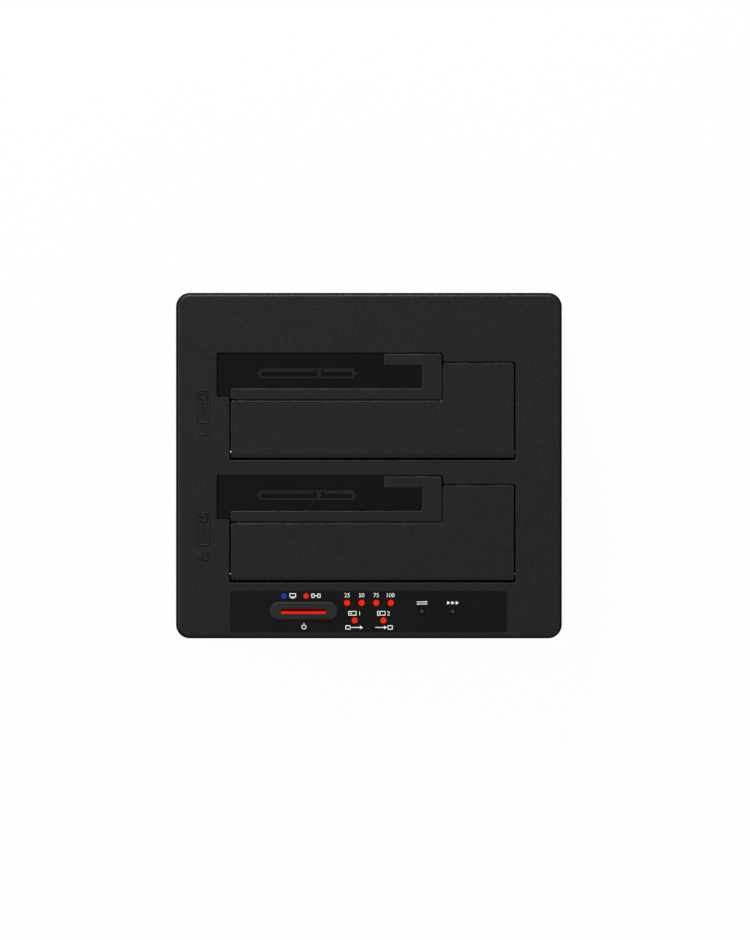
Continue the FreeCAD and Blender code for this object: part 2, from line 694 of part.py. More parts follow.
def base_tray():
    tray = case_slab(0, tray_z, split_z)
    tray = tray.makeFillet(BOTTOM_EDGE_R, level_edges(tray, tray_z))
    tray = tray.makeChamfer(PARTING_CHAMFER, level_edges(tray, split_z))
    tray = tray.cut(case_slab(WALL, floor_z, split_z + OVER))
    inner = WALL + LIP_PLAY + LIP_WALL
    root = case_slab(WALL / 2, split_z - LIP_ROOT, split_z - PARTING_CHAMFER * 2).cut(
        case_slab(inner, split_z - LIP_ROOT - OVER, split_z + OVER))
    lip = case_slab(WALL + LIP_PLAY, split_z - LIP_ROOT, lip_z).cut(
        case_slab(inner, split_z - LIP_ROOT - OVER, lip_z + OVER))
    land = case_slab(WALL / 2, split_z - LIP_ROOT, split_z).cut(
        case_slab(inner, split_z - LIP_ROOT - OVER, split_z + OVER))
    tray = join(tray, [root, lip, land]
                + [rod(x, y, floor_z - TRAY_FLOOR / 2, tray_column_z, TRAY_COLUMN_R)
                   for x, y in corner_places()]
                + [rod(x, y, floor_z - TRAY_FLOOR / 2, board_z, STANDOFF_R)
                   for x, y in board_screw_places()])
    seat_z = tray_column_z - CASE_SCREW_SEAT
    for x, y in corner_places():
        tray = tray.cut(rod(x, y, tray_z - OVER, seat_z, CASE_SCREW_HEAD_R + HEAD_PLAY))
        tray = tray.cut(rod(x, y, seat_z - OVER, tray_column_z + OVER, CASE_SCREW_R + SHANK_PLAY))
        tray = tray.cut(rod(x, y, tray_z - OVER, tray_z + FOOT_RECESS, FOOT_R + FOOT_PLAY))
    for x, y in board_screw_places():
        tray = tray.cut(rod(x, y, board_z - STANDOFF, board_z + OVER, BOARD_SCREW_R))
    for slot in vent_slots() + port_cutouts():
        tray = tray.cut(slot)
    return tray


def vent_slots():
    slots = []
    for row in (-1, 1):
        y = row * (VENT_ROW_GAP + VENT_LENGTH) / 2
        for i in range(VENT_COUNT):
            x = (i - (VENT_COUNT - 1) / 2) * VENT_PITCH
            half = VENT_WIDTH / 2
            slots.append(slab(x - half, x + half, y - VENT_LENGTH / 2, y + VENT_LENGTH / 2,
                              tray_z - OVER, floor_z + OVER, half))
    return slots


def rubber_feet():
    feet = []
    for x, y in corner_places():
        foot = rod(x, y, 0, tray_z + FOOT_RECESS, FOOT_R)
        feet.append(foot.makeFillet(FOOT_EDGE_R, level_edges(foot, 0)))
    return Part.makeCompound(feet)


def case_screws():
    seat_z = tray_column_z - CASE_SCREW_SEAT
    return Part.makeCompound([screw(x, y, seat_z, CASE_SCREW_R, CASE_SCREW_LENGTH,
                                    CASE_SCREW_HEAD_R, CASE_SCREW_HEAD_H, 1)
                              for x, y in corner_places()])


# ---- bay liners -----------------------------------------------------------------------------
def liner_profile(bay, grow, top):
    """Side outline (y, z) of a bay's well, grown outwards by the wall thickness."""
    fore = liner_front(bay) - grow
    back = bay_rear(bay) + LINER_REAR_RELIEF + grow
    bottom = well_z - (LINER_FLOOR if grow else 0)
    return [(fore, bottom), (back, bottom), (back, top), (fore, top)]


def bay_liner(bay):
    y_axis = hinge_y(bay)
    body = side_profile(liner_profile(bay, LINER_WALL, under_z),
                        liner_left - LINER_WALL, liner_right + LINER_WALL)
    hollow = side_profile(liner_profile(bay, 0, under_z + OVER), liner_left, liner_right)
    body = body.cut(hollow)
    tab_top = under_z - TAB_DROP
    additions = []
    for x, y, side in tab_places(bay):
        wall_x = (liner_left if side < 0 else liner_right) + side * LINER_WALL / 2
        tip_x = x + side * TAB_LENGTH / 2
        additions.append(box(min(wall_x, tip_x), max(wall_x, tip_x),
                             y - TAB_WIDTH / 2, y + TAB_WIDTH / 2,
                             tab_top - TAB_THICKNESS, tab_top))
    block_end = door_left - PIN_BLOCK_GAP
    additions.append(box(liner_left - LINER_WALL / 2, block_end, liner_front(bay) - LINER_WALL / 2,
                         y_axis + PIN_BLOCK_HALF, hinge_z - PIN_BLOCK_DEPTH, under_z))
    seat_top = hinge_z - SPRING_FRAME_LEG + SPRING_SEAT_HEIGHT
    additions.append(box(spring_x - SPRING_SEAT_WIDTH / 2, spring_x + SPRING_SEAT_WIDTH / 2,
                         liner_front(bay) - LINER_WALL / 2,
                         y_axis - spring_coil_r - SPRING_WIRE_R,
                         seat_top - SPRING_SEAT_HEIGHT, seat_top))
    body = join(body, additions)
    for x, y, _ in tab_places(bay):
        body = body.cut(rod(x, y, tab_top - TAB_THICKNESS - OVER, tab_top + OVER,
                            LINER_SCREW_R + SHANK_PLAY / 2))
    pin_groove = rod_along_x(liner_left - 2 * LINER_WALL, liner_right + 2 * LINER_WALL,
                             y_axis, hinge_z, PIN_R)
    pin_way = box(liner_left - 2 * LINER_WALL, liner_right + 2 * LINER_WALL,
                  y_axis - PIN_R, y_axis + PIN_R, hinge_z, under_z + OVER)
    body = body.cut(pin_groove).cut(pin_way)
    return body.cut(socket_outline(bay, NOSE_PLAY, liner_z - OVER, well_z + OVER))


def bay_liner_screws():
    tab_z = under_z - TAB_DROP - TAB_THICKNESS
    return Part.makeCompound([screw(x, y, tab_z, LINER_SCREW_R, LINER_SCREW_LENGTH,
                                    LINER_SCREW_HEAD_R, LINER_SCREW_HEAD_H, 1)
                              for bay in range(BAY_COUNT) for x, y, _ in tab_places(bay)])


# ---- doors, guide frames and hinges -----------------------------------------------------------
def bay_door(bay):
    back, y_axis = bay_rear(bay), hinge_y(bay)
    door_front = back - OPENING_DEPTH + DOOR_FRONT_GAP
    door_back = back - REAR_STEP - DOOR_REAR_GAP
    inner_y = back - SMALL_SLOT_DEPTH - GUIDE_BAR - GUIDE_DOOR_GAP
    corners = [(door_left, door_front, 0), (door_right, door_front, 0),
               (door_right, door_back, DOOR_CORNER_R), (door_inner_x, door_back, DOOR_CORNER_R),
               (door_inner_x, inner_y, GUIDE_CORNER_R + GUIDE_DOOR_GAP),
               (door_left, inner_y, DOOR_CORNER_R)]
    door = plate(corners, door_under, top_z).cut(door_lip_cut(door_front))
    crown = level_edges(door, top_z,
                        lambda edge: edge.BoundBox.YMax > door_front + 2 * DOOR_LIP_LENGTH)
    door = door.makeFillet(RIM_R, crown)
    ledge_top = top_z - GUIDE_THICKNESS
    ledge_z = ledge_top - LEDGE_THICKNESS
    ledge_left = door_left + LEDGE_END_INSET
    ledge_back = inner_y + GUIDE_DOOR_GAP + LEDGE_OVERLAP
    side_back = door_back - LEDGE_END_INSET / 2
    side_left = guide_right - SIDE_LEDGE_OVERLAP
    solids = [
        box(ledge_left, door_inner_x + LEDGE_RIB, inner_y - LEDGE_RIB, inner_y, ledge_z, door_under),
        box(door_inner_x, door_inner_x + LEDGE_RIB, inner_y - LEDGE_RIB, side_back,
            ledge_z, door_under),
        box(ledge_left, door_inner_x, inner_y - LEDGE_RIB, ledge_back, ledge_z, ledge_top),
        box(side_left, door_inner_x, inner_y, side_back, ledge_z, ledge_top),
        rod_along_x(door_left, door_right, y_axis, hinge_z, BARREL_R),
        box(door_left, door_right, y_axis - BARREL_R, y_axis + BARREL_R, hinge_z, door_under),
    ]
    for i in range(DOOR_RIB_COUNT):
        x = door_left + (i + 0.5) * (door_right - door_left) / DOOR_RIB_COUNT
        solids.append(box(x - DOOR_RIB / 2, x + DOOR_RIB / 2, y_axis, inner_y,
                          door_under - DOOR_RIB_DEPTH, door_under))
    door = join(door, solids + stop_tabs(door_back))
    half_gap = SPRING_GAP / 2
    door = door.cut(box(spring_x - half_gap, spring_x + half_gap, y_axis - BARREL_R - OVER,
                        y_axis + BARREL_R + OVER, hinge_z - BARREL_R - OVER, door_under))
    door = door.cut(rod_along_x(door_left - OVER, door_right + OVER, y_axis, hinge_z,
                                PIN_R + PIN_RUNNING_CLEARANCE))
    for x, y in guide_screw_places(bay):
        door = door.cut(rod(x, y, ledge_z - OVER, ledge_top + EPS, GUIDE_SCREW_R + SHANK_PLAY / 2))
    return door


def door_lip_cut(door_front):
    """What the door's sloping front strip and the round below it leave out, along X."""
    slope = math.atan2(DOOR_LIP_DROP, DOOR_LIP_LENGTH)
    low = top_z - DOOR_LIP_DROP
    x0, x1 = door_left - OVER, door_right + OVER
    beyond = OVER * math.tan(slope)
    wedge = side_profile([(door_front - OVER, low - beyond),
                          (door_front + DOOR_LIP_LENGTH + OVER, top_z + beyond),
                          (door_front - OVER, top_z + beyond)], x0, x1)
    centre_y = door_front + DOOR_LIP_R
    centre_z = low + DOOR_LIP_R * (math.tan(slope) - 1 / math.cos(slope))
    corner = box(x0, x1, door_front - OVER, centre_y - DOOR_LIP_R * math.sin(slope),
                 centre_z, top_z + OVER)
    return wedge.fuse(corner.cut(rod_along_x(x0, x1, centre_y, centre_z, DOOR_LIP_R)))


def stop_tabs(door_back):
    """Hooks at the door's rear edge that stop it flush with the case."""
    top = under_z - STOP_TAB_GAP
    low = top - STOP_TAB_THICKNESS
    solids = []
    for x in (door_inner_x + LEDGE_RIB + STOP_TAB_INSET, door_right - STOP_TAB_INSET):
        x0, x1 = x - STOP_TAB_WIDTH / 2, x + STOP_TAB_WIDTH / 2
        root = door_back - 2 * STOP_TAB_REACH
        solids.append(box(x0, x1, root, door_back + STOP_TAB_REACH, low, top))
        solids.append(box(x0, x1, root, door_back - RIM_R, low, door_under))
    return solids


def drive_guide_frame(bay):
    back = bay_rear(bay) - DOOR_REAR_GAP
    bar_back = bay_rear(bay) - SMALL_SLOT_DEPTH
    bar_front = bar_back - GUIDE_BAR
    hook_front = back - GUIDE_HOOK
    outer, inner = GUIDE_CORNER_R, GUIDE_INNER_R
    corners = [(door_left, bar_front, inner), (guide_right, bar_front, outer),
               (guide_right, back, outer), (small_right - HOOK_LENGTH + GUIDE_SIDE, back, inner),
               (small_right - HOOK_LENGTH + GUIDE_SIDE, hook_front, inner),
               (small_right, hook_front, inner), (small_right, bar_back, inner),
               (door_left, bar_back, inner)]
    low = top_z - GUIDE_THICKNESS
    frame = plate(corners, low, top_z)
    frame = frame.makeFillet(RIM_R, level_edges(frame, top_z))
    for x, y in guide_screw_places(bay):
        frame = frame.cut(rod(x, y, low - EPS, low + GUIDE_SCREW_LENGTH - LEDGE_THICKNESS,
                              GUIDE_SCREW_R))
    return frame


def guide_frame_screws(bay):
    seat_z = top_z - GUIDE_THICKNESS - LEDGE_THICKNESS
    return Part.makeCompound([screw(x, y, seat_z, GUIDE_SCREW_R, GUIDE_SCREW_LENGTH,
                                    GUIDE_SCREW_HEAD_R, GUIDE_SCREW_HEAD_H, 1)
                              for x, y in guide_screw_places(bay)])


def hinge_pin(bay):
    return rod_along_x(liner_left - LINER_WALL, liner_right + LINER_WALL,
                       hinge_y(bay), hinge_z, PIN_R)


def door_spring(bay):
    """A torsion spring round the pin: one leg under the door, one on the liner's seat."""
    height = SPRING_TURNS * SPRING_PITCH
    path = Part.makeHelix(SPRING_PITCH, height, spring_coil_r)
    section = Part.Wire(Part.makeCircle(SPRING_WIRE_R, V(spring_coil_r, 0, 0), REAR))
    coil = Part.Wire(path).makePipeShell([section], True, True)
    coil.Placement = laid_along_x(spring_x - height / 2, hinge_y(bay))
    door_leg = Part.makeCylinder(SPRING_WIRE_R, SPRING_DOOR_LEG,
                                 V(spring_x - height / 2, hinge_y(bay), hinge_z + spring_coil_r),
                                 REAR)
    frame_leg = Part.makeCylinder(SPRING_WIRE_R, SPRING_FRAME_LEG,
                                  V(spring_x + height / 2, hinge_y(bay) - spring_coil_r, hinge_z),
                                  UP * -1)
    return coil.multiFuse([door_leg, frame_leg])


def laid_along_x(x, y):
    """Places what stands on the origin along +X at the hinge, with its local X pointing up."""
    matrix = FreeCAD.Matrix(0, 0, 1, x,
                            0, -1, 0, y,
                            1, 0, 0, hinge_z,
                            0, 0, 0, 1)
    return FreeCAD.Placement(matrix)


# ---- sockets and main board -----------------------------------------------------------------
def socket_outline(bay, play, z0, z1):
    """The nose of a drive socket with its end nubs, grown by play."""
    y = bay_rear(bay) - SOCKET_FROM_REAR
    half, wide = NOSE_LENGTH / 2 + play, NOSE_WIDTH / 2 + play
    nose = box(socket_x - half, socket_x + half, y - wide, y + wide, z0, z1)
    nubs = box(socket_x - half - NUB_LENGTH, socket_x + half + NUB_LENGTH,
               y - NUB_WIDTH / 2 - play, y + NUB_WIDTH / 2 + play, z0, z1)
    return nose.fuse(nubs).removeSplitter()


def socket_slots():
    """Start, length and key side of the power and data slots along X."""
    start = socket_x - NOSE_LENGTH / 2 + NOSE_END_WALL
    end = socket_x + NOSE_LENGTH / 2 - NOSE_END_WALL
    return ((start, POWER_SLOT_LENGTH, 1), (end - DATA_SLOT_LENGTH, DATA_SLOT_LENGTH, -1))


def sata_socket(bay):
    y = bay_rear(bay) - SOCKET_FROM_REAR
    base_top = board_top + SOCKET_BASE_HEIGHT
    nose_top = well_z + NOSE_RISE
    half = SOCKET_BASE_LENGTH / 2
    body = box(socket_x - half, socket_x + half, y - SOCKET_BASE_WIDTH / 2,
               y + SOCKET_BASE_WIDTH / 2, board_top, base_top)
    body = body.fuse(socket_outline(bay, 0, base_top - OVER, nose_top)).removeSplitter()
    slot_back = y + NOSE_WIDTH / 2 - SLOT_REAR_WALL
    slot_z = liner_z + SLOT_FLOOR
    for start, length, side in socket_slots():
        body = body.cut(box(start, start + length, slot_back - SLOT_WIDTH, slot_back,
                            slot_z, nose_top + OVER))
        key_x = start + length - KEY_LENGTH if side > 0 else start
        body = body.cut(box(key_x, key_x + KEY_LENGTH, slot_back - SLOT_WIDTH / 2,
                            slot_back + KEY_DEPTH, slot_z, nose_top + OVER))
    for x in contact_places():
        body = body.cut(contact_blade(bay, x))
    return body


def contact_places():
    """Each contact's x, in two rows end to end."""
    places = []
    counts = (POWER_CONTACT_COUNT, DATA_CONTACT_COUNT)
    for (start, length, _), count in zip(socket_slots(), counts):
        first = start + length / 2 - (count - 1) * CONTACT_PITCH / 2
        places += [first + i * CONTACT_PITCH for i in range(count)]
    return places


def contact_blade(bay, x):
    """A thin blade let into the front wall of its slot, below the wall's lip."""
    face_y = bay_rear(bay) - SOCKET_FROM_REAR + NOSE_WIDTH / 2 - SLOT_REAR_WALL - SLOT_WIDTH
    low, high = liner_z + SLOT_FLOOR, well_z + NOSE_RISE - CONTACT_BELOW_TOP
    return box(x - CONTACT_WIDTH / 2, x + CONTACT_WIDTH / 2,
               face_y - CONTACT_THICKNESS, face_y, low, high)


def sata_contacts(bay):
    return Part.makeCompound([contact_blade(bay, x) for x in contact_places()])


def main_board():
    board = slab(-board_half, board_half, board_front, board_rear, board_z, board_top,
                 BOARD_CORNER_R)
    for x, y in board_screw_places():
        board = board.cut(rod(x, y, board_z - OVER, board_top + OVER, BOARD_SCREW_R + SHANK_PLAY / 2))
    return board


def main_board_screws():
    return Part.makeCompound([screw(x, y, board_top, BOARD_SCREW_R, BOARD_SCREW_LENGTH,
                                    BOARD_SCREW_HEAD_R, BOARD_SCREW_HEAD_H, -1)
                              for x, y in board_screw_places()])


def on_board(x, y, length, width, height):
    """A component's block standing on the main board."""
    return box(x - length / 2, x + length / 2, y - width / 2, y + width / 2,
               board_top, board_top + height)


def leaded_chip(x, y, length, width, height, leads, pitch):
    """A chip package with a row of short leads on its two long sides, as separate solids."""
    solids = [on_board(x, y, length, width, height)]
    lead_y = (width + LEAD_LENGTH) / 2
    for side in (-1, 1):
        for i in range(leads):
            lead_x = x + (i - (leads - 1) / 2) * pitch
            solids.append(on_board(lead_x, y + side * lead_y, pitch * LEAD_SHARE,
                                   LEAD_LENGTH, LEAD_THICKNESS))
    return Part.makeCompound(solids)


def bridge_chip():
    return leaded_chip(*bridge_place, *BRIDGE_CHIP_SIZE, BRIDGE_LEAD_COUNT, FINE_PITCH)


def firmware_chip():
    x, y = bridge_place
    return leaded_chip(x + FIRMWARE_STEP, y, *FIRMWARE_CHIP_SIZE, FIRMWARE_LEAD_COUNT,
                       CONTACT_PITCH)


def clock_crystal():
    """An oval can in front of the bridge chip."""
    x, y = bridge_place[0], bridge_place[1] - CRYSTAL_STEP
    return pill(x, y, CRYSTAL_LENGTH, CRYSTAL_WIDTH, board_top, board_top + CRYSTAL_HEIGHT)


def filter_capacitors():
    """Cans with a scored top, two large and two small, along the rear of the board."""
    y = board_rear - CAN_FROM_REAR
    x = -board_half + CAN_FROM_SIDE
    cans = []
    for radius, height in CAN_SIZES:
        x += radius
        top = board_top + height
        can = rod(x, y, board_top, top, radius)
        can = can.makeFillet(radius * CAN_EDGE_SHARE, level_edges(can, top))
        reach = radius * CAN_SCORE_SHARE
        score = box(x - reach, x + reach, y - CAN_SCORE / 2, y + CAN_SCORE / 2,
                    top - CAN_SCORE, top + OVER)
        cans.append(can.cut(score).cut(score.rotated(V(x, y, 0), UP, 90)))
        x += radius + CAN_GAP
    return Part.makeCompound(cans)


def power_inductors():
    """Two square coils behind the bridge chip."""
    blocks = []
    for i in range(INDUCTOR_COUNT):
        x, y = bridge_place[0] + i * INDUCTOR_PITCH, bridge_place[1] + INDUCTOR_STEP
        half, top = INDUCTOR_SIZE / 2, board_top + INDUCTOR_HEIGHT
        block = slab(x - half, x + half, y - half, y + half, board_top, top, INDUCTOR_CORNER_R)
        blocks.append(block.makeFillet(INDUCTOR_EDGE_R, level_edges(block, top)))
    return Part.makeCompound(blocks)


def surface_parts():
    """Rows of small resistors and capacitors in front of the bridge chip."""
    x, y = bridge_place
    parts = []
    for row in range(CHIP_ROW_COUNT):
        row_y = y - CRYSTAL_STEP - (row + 1) * CHIP_ROW_PITCH
        parts += [on_board(x + (i - 1) * CHIP_PITCH + row % 2, row_y, *SMALL_CHIP_SIZE)
                  for i in range(ROW_CHIP_COUNT)]
    return Part.makeCompound(parts)


# ---- rear ports -------------------------------------------------------------------------------
def dc_jack_housing():
    back, half = port_face, JACK_WIDTH / 2
    z = board_top + JACK_BORE_Z
    body = box(JACK_X - half, JACK_X + half, back - JACK_LENGTH, back,
               board_top, board_top + JACK_HEIGHT)
    body = body.cut(rod_along_y(JACK_X, back - JACK_BORE_DEPTH, back + OVER, z, JACK_BORE_R))
    return body


def dc_jack_pin():
    bottom = port_face - JACK_BORE_DEPTH
    pin = rod_along_y(JACK_X, bottom, bottom + JACK_PIN_LENGTH, board_top + JACK_BORE_Z, JACK_PIN_R)
    tip = [edge for edge in pin.Edges if edge.BoundBox.YMin > bottom + JACK_PIN_LENGTH - EPS]
    return pin.makeFillet(JACK_PIN_R / 2, tip)


def usb_mouth(grow, y0, y1):
    """The port's mouth: a chamfered square with a narrower step above it, as a prism along Y."""
    low = board_top + USB_MOUTH_Z - grow
    half, upper = USB_MOUTH_WIDTH / 2 + grow, USB_UPPER_WIDTH / 2 + grow
    shoulder = board_top + USB_MOUTH_Z + USB_MOUTH_HEIGHT + grow
    top = shoulder + USB_UPPER_HEIGHT
    cut = USB_MOUTH_CHAMFER
    points = [(-half, low), (half, low), (half, shoulder - cut), (upper + EPS, shoulder),
              (upper, top), (-upper, top), (-upper - EPS, shoulder), (-half, shoulder - cut)]
    wire = Part.makePolygon([V(USB_X + x, y0, z) for x, z in points + points[:1]])
    return Part.Face(wire).extrude(V(0, y1 - y0, 0))


def usb_port_shell():
    half, start = USB_WIDTH / 2, port_face - USB_LENGTH
    top = board_top + USB_HEIGHT
    shell = box(USB_X - half, USB_X + half, start, port_face, board_top, top)
    shell = shell.cut(box(USB_X - half + USB_SHELL, USB_X + half - USB_SHELL, start - OVER,
                          port_face - USB_SHELL, board_top + USB_SHELL, top - USB_SHELL))
    return shell.cut(usb_mouth(0, port_face - USB_SHELL - OVER, port_face + OVER))


def usb_port_insert():
    """Block at the back of the shell with a lower and an upper tongue."""
    start = port_face - USB_LENGTH
    half = USB_WIDTH / 2 - USB_SHELL
    block = box(USB_X - half, USB_X + half, start, start + USB_BLOCK,
                board_top + USB_SHELL, board_top + USB_HEIGHT - USB_SHELL)
    z = board_top + USB_MOUTH_Z + (USB_MOUTH_HEIGHT - USB_TONGUE_HEIGHT) / 2
    wide = USB_TONGUE_WIDTH / 2
    lower = box(USB_X - wide, USB_X + wide, start + USB_BLOCK - OVER,
                start + USB_BLOCK + USB_TONGUE_LENGTH, z, z + USB_TONGUE_HEIGHT)
    high = board_top + USB_MOUTH_Z + USB_MOUTH_HEIGHT + USB_UPPER_HEIGHT / 2
    wide = USB_UPPER_WIDTH / 2 - USB_SHELL * 2
    upper = box(USB_X - wide, USB_X + wide, start + USB_BLOCK - OVER,
                start + USB_BLOCK + USB_TONGUE_LENGTH, high, high + USB_TOP_TONGUE_HEIGHT)
    return join(block, [lower, upper])


def usb_contacts():
    """Strips on the faces of the two tongues."""
    y0 = port_face - USB_LENGTH + USB_BLOCK
    y1 = y0 + USB_TONGUE_LENGTH - CONTACT_PITCH
    low = board_top + USB_MOUTH_Z + (USB_MOUTH_HEIGHT - USB_TONGUE_HEIGHT) / 2
    upper = board_top + USB_MOUTH_Z + USB_MOUTH_HEIGHT + USB_UPPER_HEIGHT / 2
    half = CONTACT_WIDTH / 2
    strips = []
    for side in (-1, 1):
        x = USB_X + side * CONTACT_PITCH
        strips.append(box(x - half, x + half, y0, y1, low + USB_TONGUE_HEIGHT,
                          low + USB_TONGUE_HEIGHT + CONTACT_THICKNESS))
        strips.append(box(x - half, x + half, y0, y1, low - CONTACT_THICKNESS, low))
    for i in range(-1, 2):
        x = USB_X + i * CONTACT_PITCH
        strips.append(box(x - half, x + half, y0, y1, upper - CONTACT_THICKNESS, upper))
    return Part.makeCompound(strips)


# ---- control panel, lights and buttons --------------------------------------------------------
def control_panel():
    panel = slab(panel_left, panel_right, panel_rear - PANEL_DEPTH, panel_rear,
                 panel_z, panel_face, PANEL_CORNER_R)
    panel = panel.makeFillet(PANEL_EDGE_R, level_edges(panel, panel_face))
    for hole in panel_holes(0, panel_z - OVER, panel_face + OVER):
        panel = panel.cut(hole)
    return panel


def light_pipe(x, y, radius):
    """A clear rod from a lamp on the panel board up to the panel's face."""
    pipe = rod(x, y, panel_board_top + LED_HEIGHT, panel_face + LIGHT_PROUD, radius)
    return pipe.makeFillet(LIGHT_PROUD, level_edges(pipe, panel_face + LIGHT_PROUD))


def red_light_pipes():
    return Part.makeCompound([light_pipe(*light) for light in red_lights()])


def blue_light_pipe():
    return light_pipe(*panel_place(COMPUTER_LIGHT), MODE_LIGHT_R)


def power_lamp_places():
    x, y = panel_place(POWER_BUTTON)
    return [(x + side * POWER_LED_SPREAD / 2, y) for side in (-1, 1)]


def indicator_leds():
    places = [light[:2] for light in red_lights()] + [panel_place(COMPUTER_LIGHT)]
    return Part.makeCompound([box(x - LED_LENGTH / 2, x + LED_LENGTH / 2, y - LED_WIDTH / 2,
                                  y + LED_WIDTH / 2, panel_board_top, panel_board_top + LED_HEIGHT)
                              for x, y in places + power_lamp_places()])


def power_button():
    """A long round-ended cap with a flange that keeps it under the cover, and a short stem."""
    x, y = panel_place(POWER_BUTTON)
    flange_top = under_z - FLANGE_GAP
    flange_z = flange_top - FLANGE_THICKNESS
    cap_top = panel_face + POWER_PROUD
    cap = pill(x, y, POWER_LENGTH, POWER_WIDTH, flange_z, cap_top)
    cap = cap.makeFillet(POWER_EDGE_R, level_edges(cap, cap_top))
    flange = pill(x, y, POWER_LENGTH + 2 * POWER_FLANGE, POWER_WIDTH + 2 * POWER_FLANGE,
                  flange_z, flange_top)
    stem = rod(x, y, flange_z - STEM_LENGTH, flange_z + FLANGE_THICKNESS / 2, STEM_R)
    cap = join(cap, [flange, stem])
    return cap.cut(light_bar(cap_top - BAR_RECESS - BAR_HEIGHT, cap_top + OVER))


def light_bar(z0, z1):
    x, y = panel_place(POWER_BUTTON)
    y -= BAR_SHIFT
    return box(x - BAR_LENGTH / 2, x + BAR_LENGTH / 2, y - BAR_WIDTH / 2, y + BAR_WIDTH / 2, z0, z1)


def power_light_bar():
    top = panel_face + POWER_PROUD - BAR_RECESS
    return light_bar(top - BAR_HEIGHT, top)


def power_switch_body():
    x, y = panel_place(POWER_BUTTON)
    half, well = SWITCH_SIZE / 2, PLUNGER_SIZE / 2 + PLUNGER_PLAY
    wide = half * SWITCH_SHARE
    body = box(x - half, x + half, y - wide, y + wide, panel_board_top, power_switch_top)
    well_floor = power_switch_top - PLUNGER_DEPTH - POWER_TRAVEL - PLUNGER_END_GAP
    return body.cut(box(x - well, x + well, y - well, y + well, well_floor, power_switch_top + OVER))


def power_switch_plunger():
    x, y = panel_place(POWER_BUTTON)
    half = PLUNGER_SIZE / 2
    return box(x - half, x + half, y - half, y + half,
               power_switch_top - PLUNGER_DEPTH, power_stem_z)


def tip_button(number):
    """A small domed push pin with a flange under the cover, standing on its switch plunger."""
    x, y = push_button_places()[number]
    flange_top = under_z - FLANGE_GAP
    tip_top = panel_face + TIP_PROUD
    pin = rod(x, y, tact_plunger_top, tip_top, TIP_R)
    pin = pin.makeFillet(TIP_DOME, level_edges(pin, tip_top))
    flange = rod(x, y, flange_top - TIP_FLANGE_THICKNESS, flange_top, TIP_FLANGE_R)
    return pin.fuse(flange).removeSplitter()


def button_switches():
    """Bodies of the two push switches under the mode and start buttons."""
    bodies = []
    for x, y in push_button_places():
        half = TACT_SIZE / 2
        body = slab(x - half, x + half, y - half, y + half, panel_board_top, tact_top,
                    TACT_CORNER_R)
        well_floor = tact_top - TACT_PLUNGER_DEPTH - TIP_TRAVEL - PLUNGER_END_GAP
        bodies.append(body.cut(rod(x, y, well_floor, tact_top + OVER,
                                   TACT_PLUNGER_R + PLUNGER_PLAY)))
    return Part.makeCompound(bodies)


def switch_plunger(number):
    x, y = push_button_places()[number]
    return rod(x, y, tact_top - TACT_PLUNGER_DEPTH, tact_plunger_top, TACT_PLUNGER_R)


def panel_board():
    board = slab(panel_left + PANEL_BOARD_SIDE_INSET, panel_right - PANEL_BOARD_SIDE_INSET,
                 panel_rear - PANEL_DEPTH + PANEL_BOARD_EDGE_INSET,
                 panel_rear - PANEL_BOARD_EDGE_INSET,
                 panel_board_z, panel_board_top, PANEL_BOARD_CORNER_R)
    for x, y in panel_screw_places():
        board = board.cut(rod(x, y, panel_board_z - OVER, panel_board_top + OVER,
                              PANEL_SCREW_R + SHANK_PLAY / 2))
    return board


def panel_board_screws():
    return Part.makeCompound([screw(x, y, panel_board_z, PANEL_SCREW_R, PANEL_SCREW_LENGTH,
                                    PANEL_SCREW_HEAD_R, PANEL_SCREW_HEAD_H, 1)
                              for x, y in panel_screw_places()])


# ---- ribbon -------------------------------------------------------------------------------------
def ribbon_ends():
    """Upper and lower ends of the ribbon as (y, z)."""
    upper = (panel_mid_y + RIBBON_SHIFT / 2, panel_board_z - RIBBON_PLUG_HEIGHT)
    lower = (panel_mid_y - RIBBON_SHIFT / 2 + RIBBON_SHIFT * 2, board_top + RIBBON_PLUG_HEIGHT)
    return upper, lower


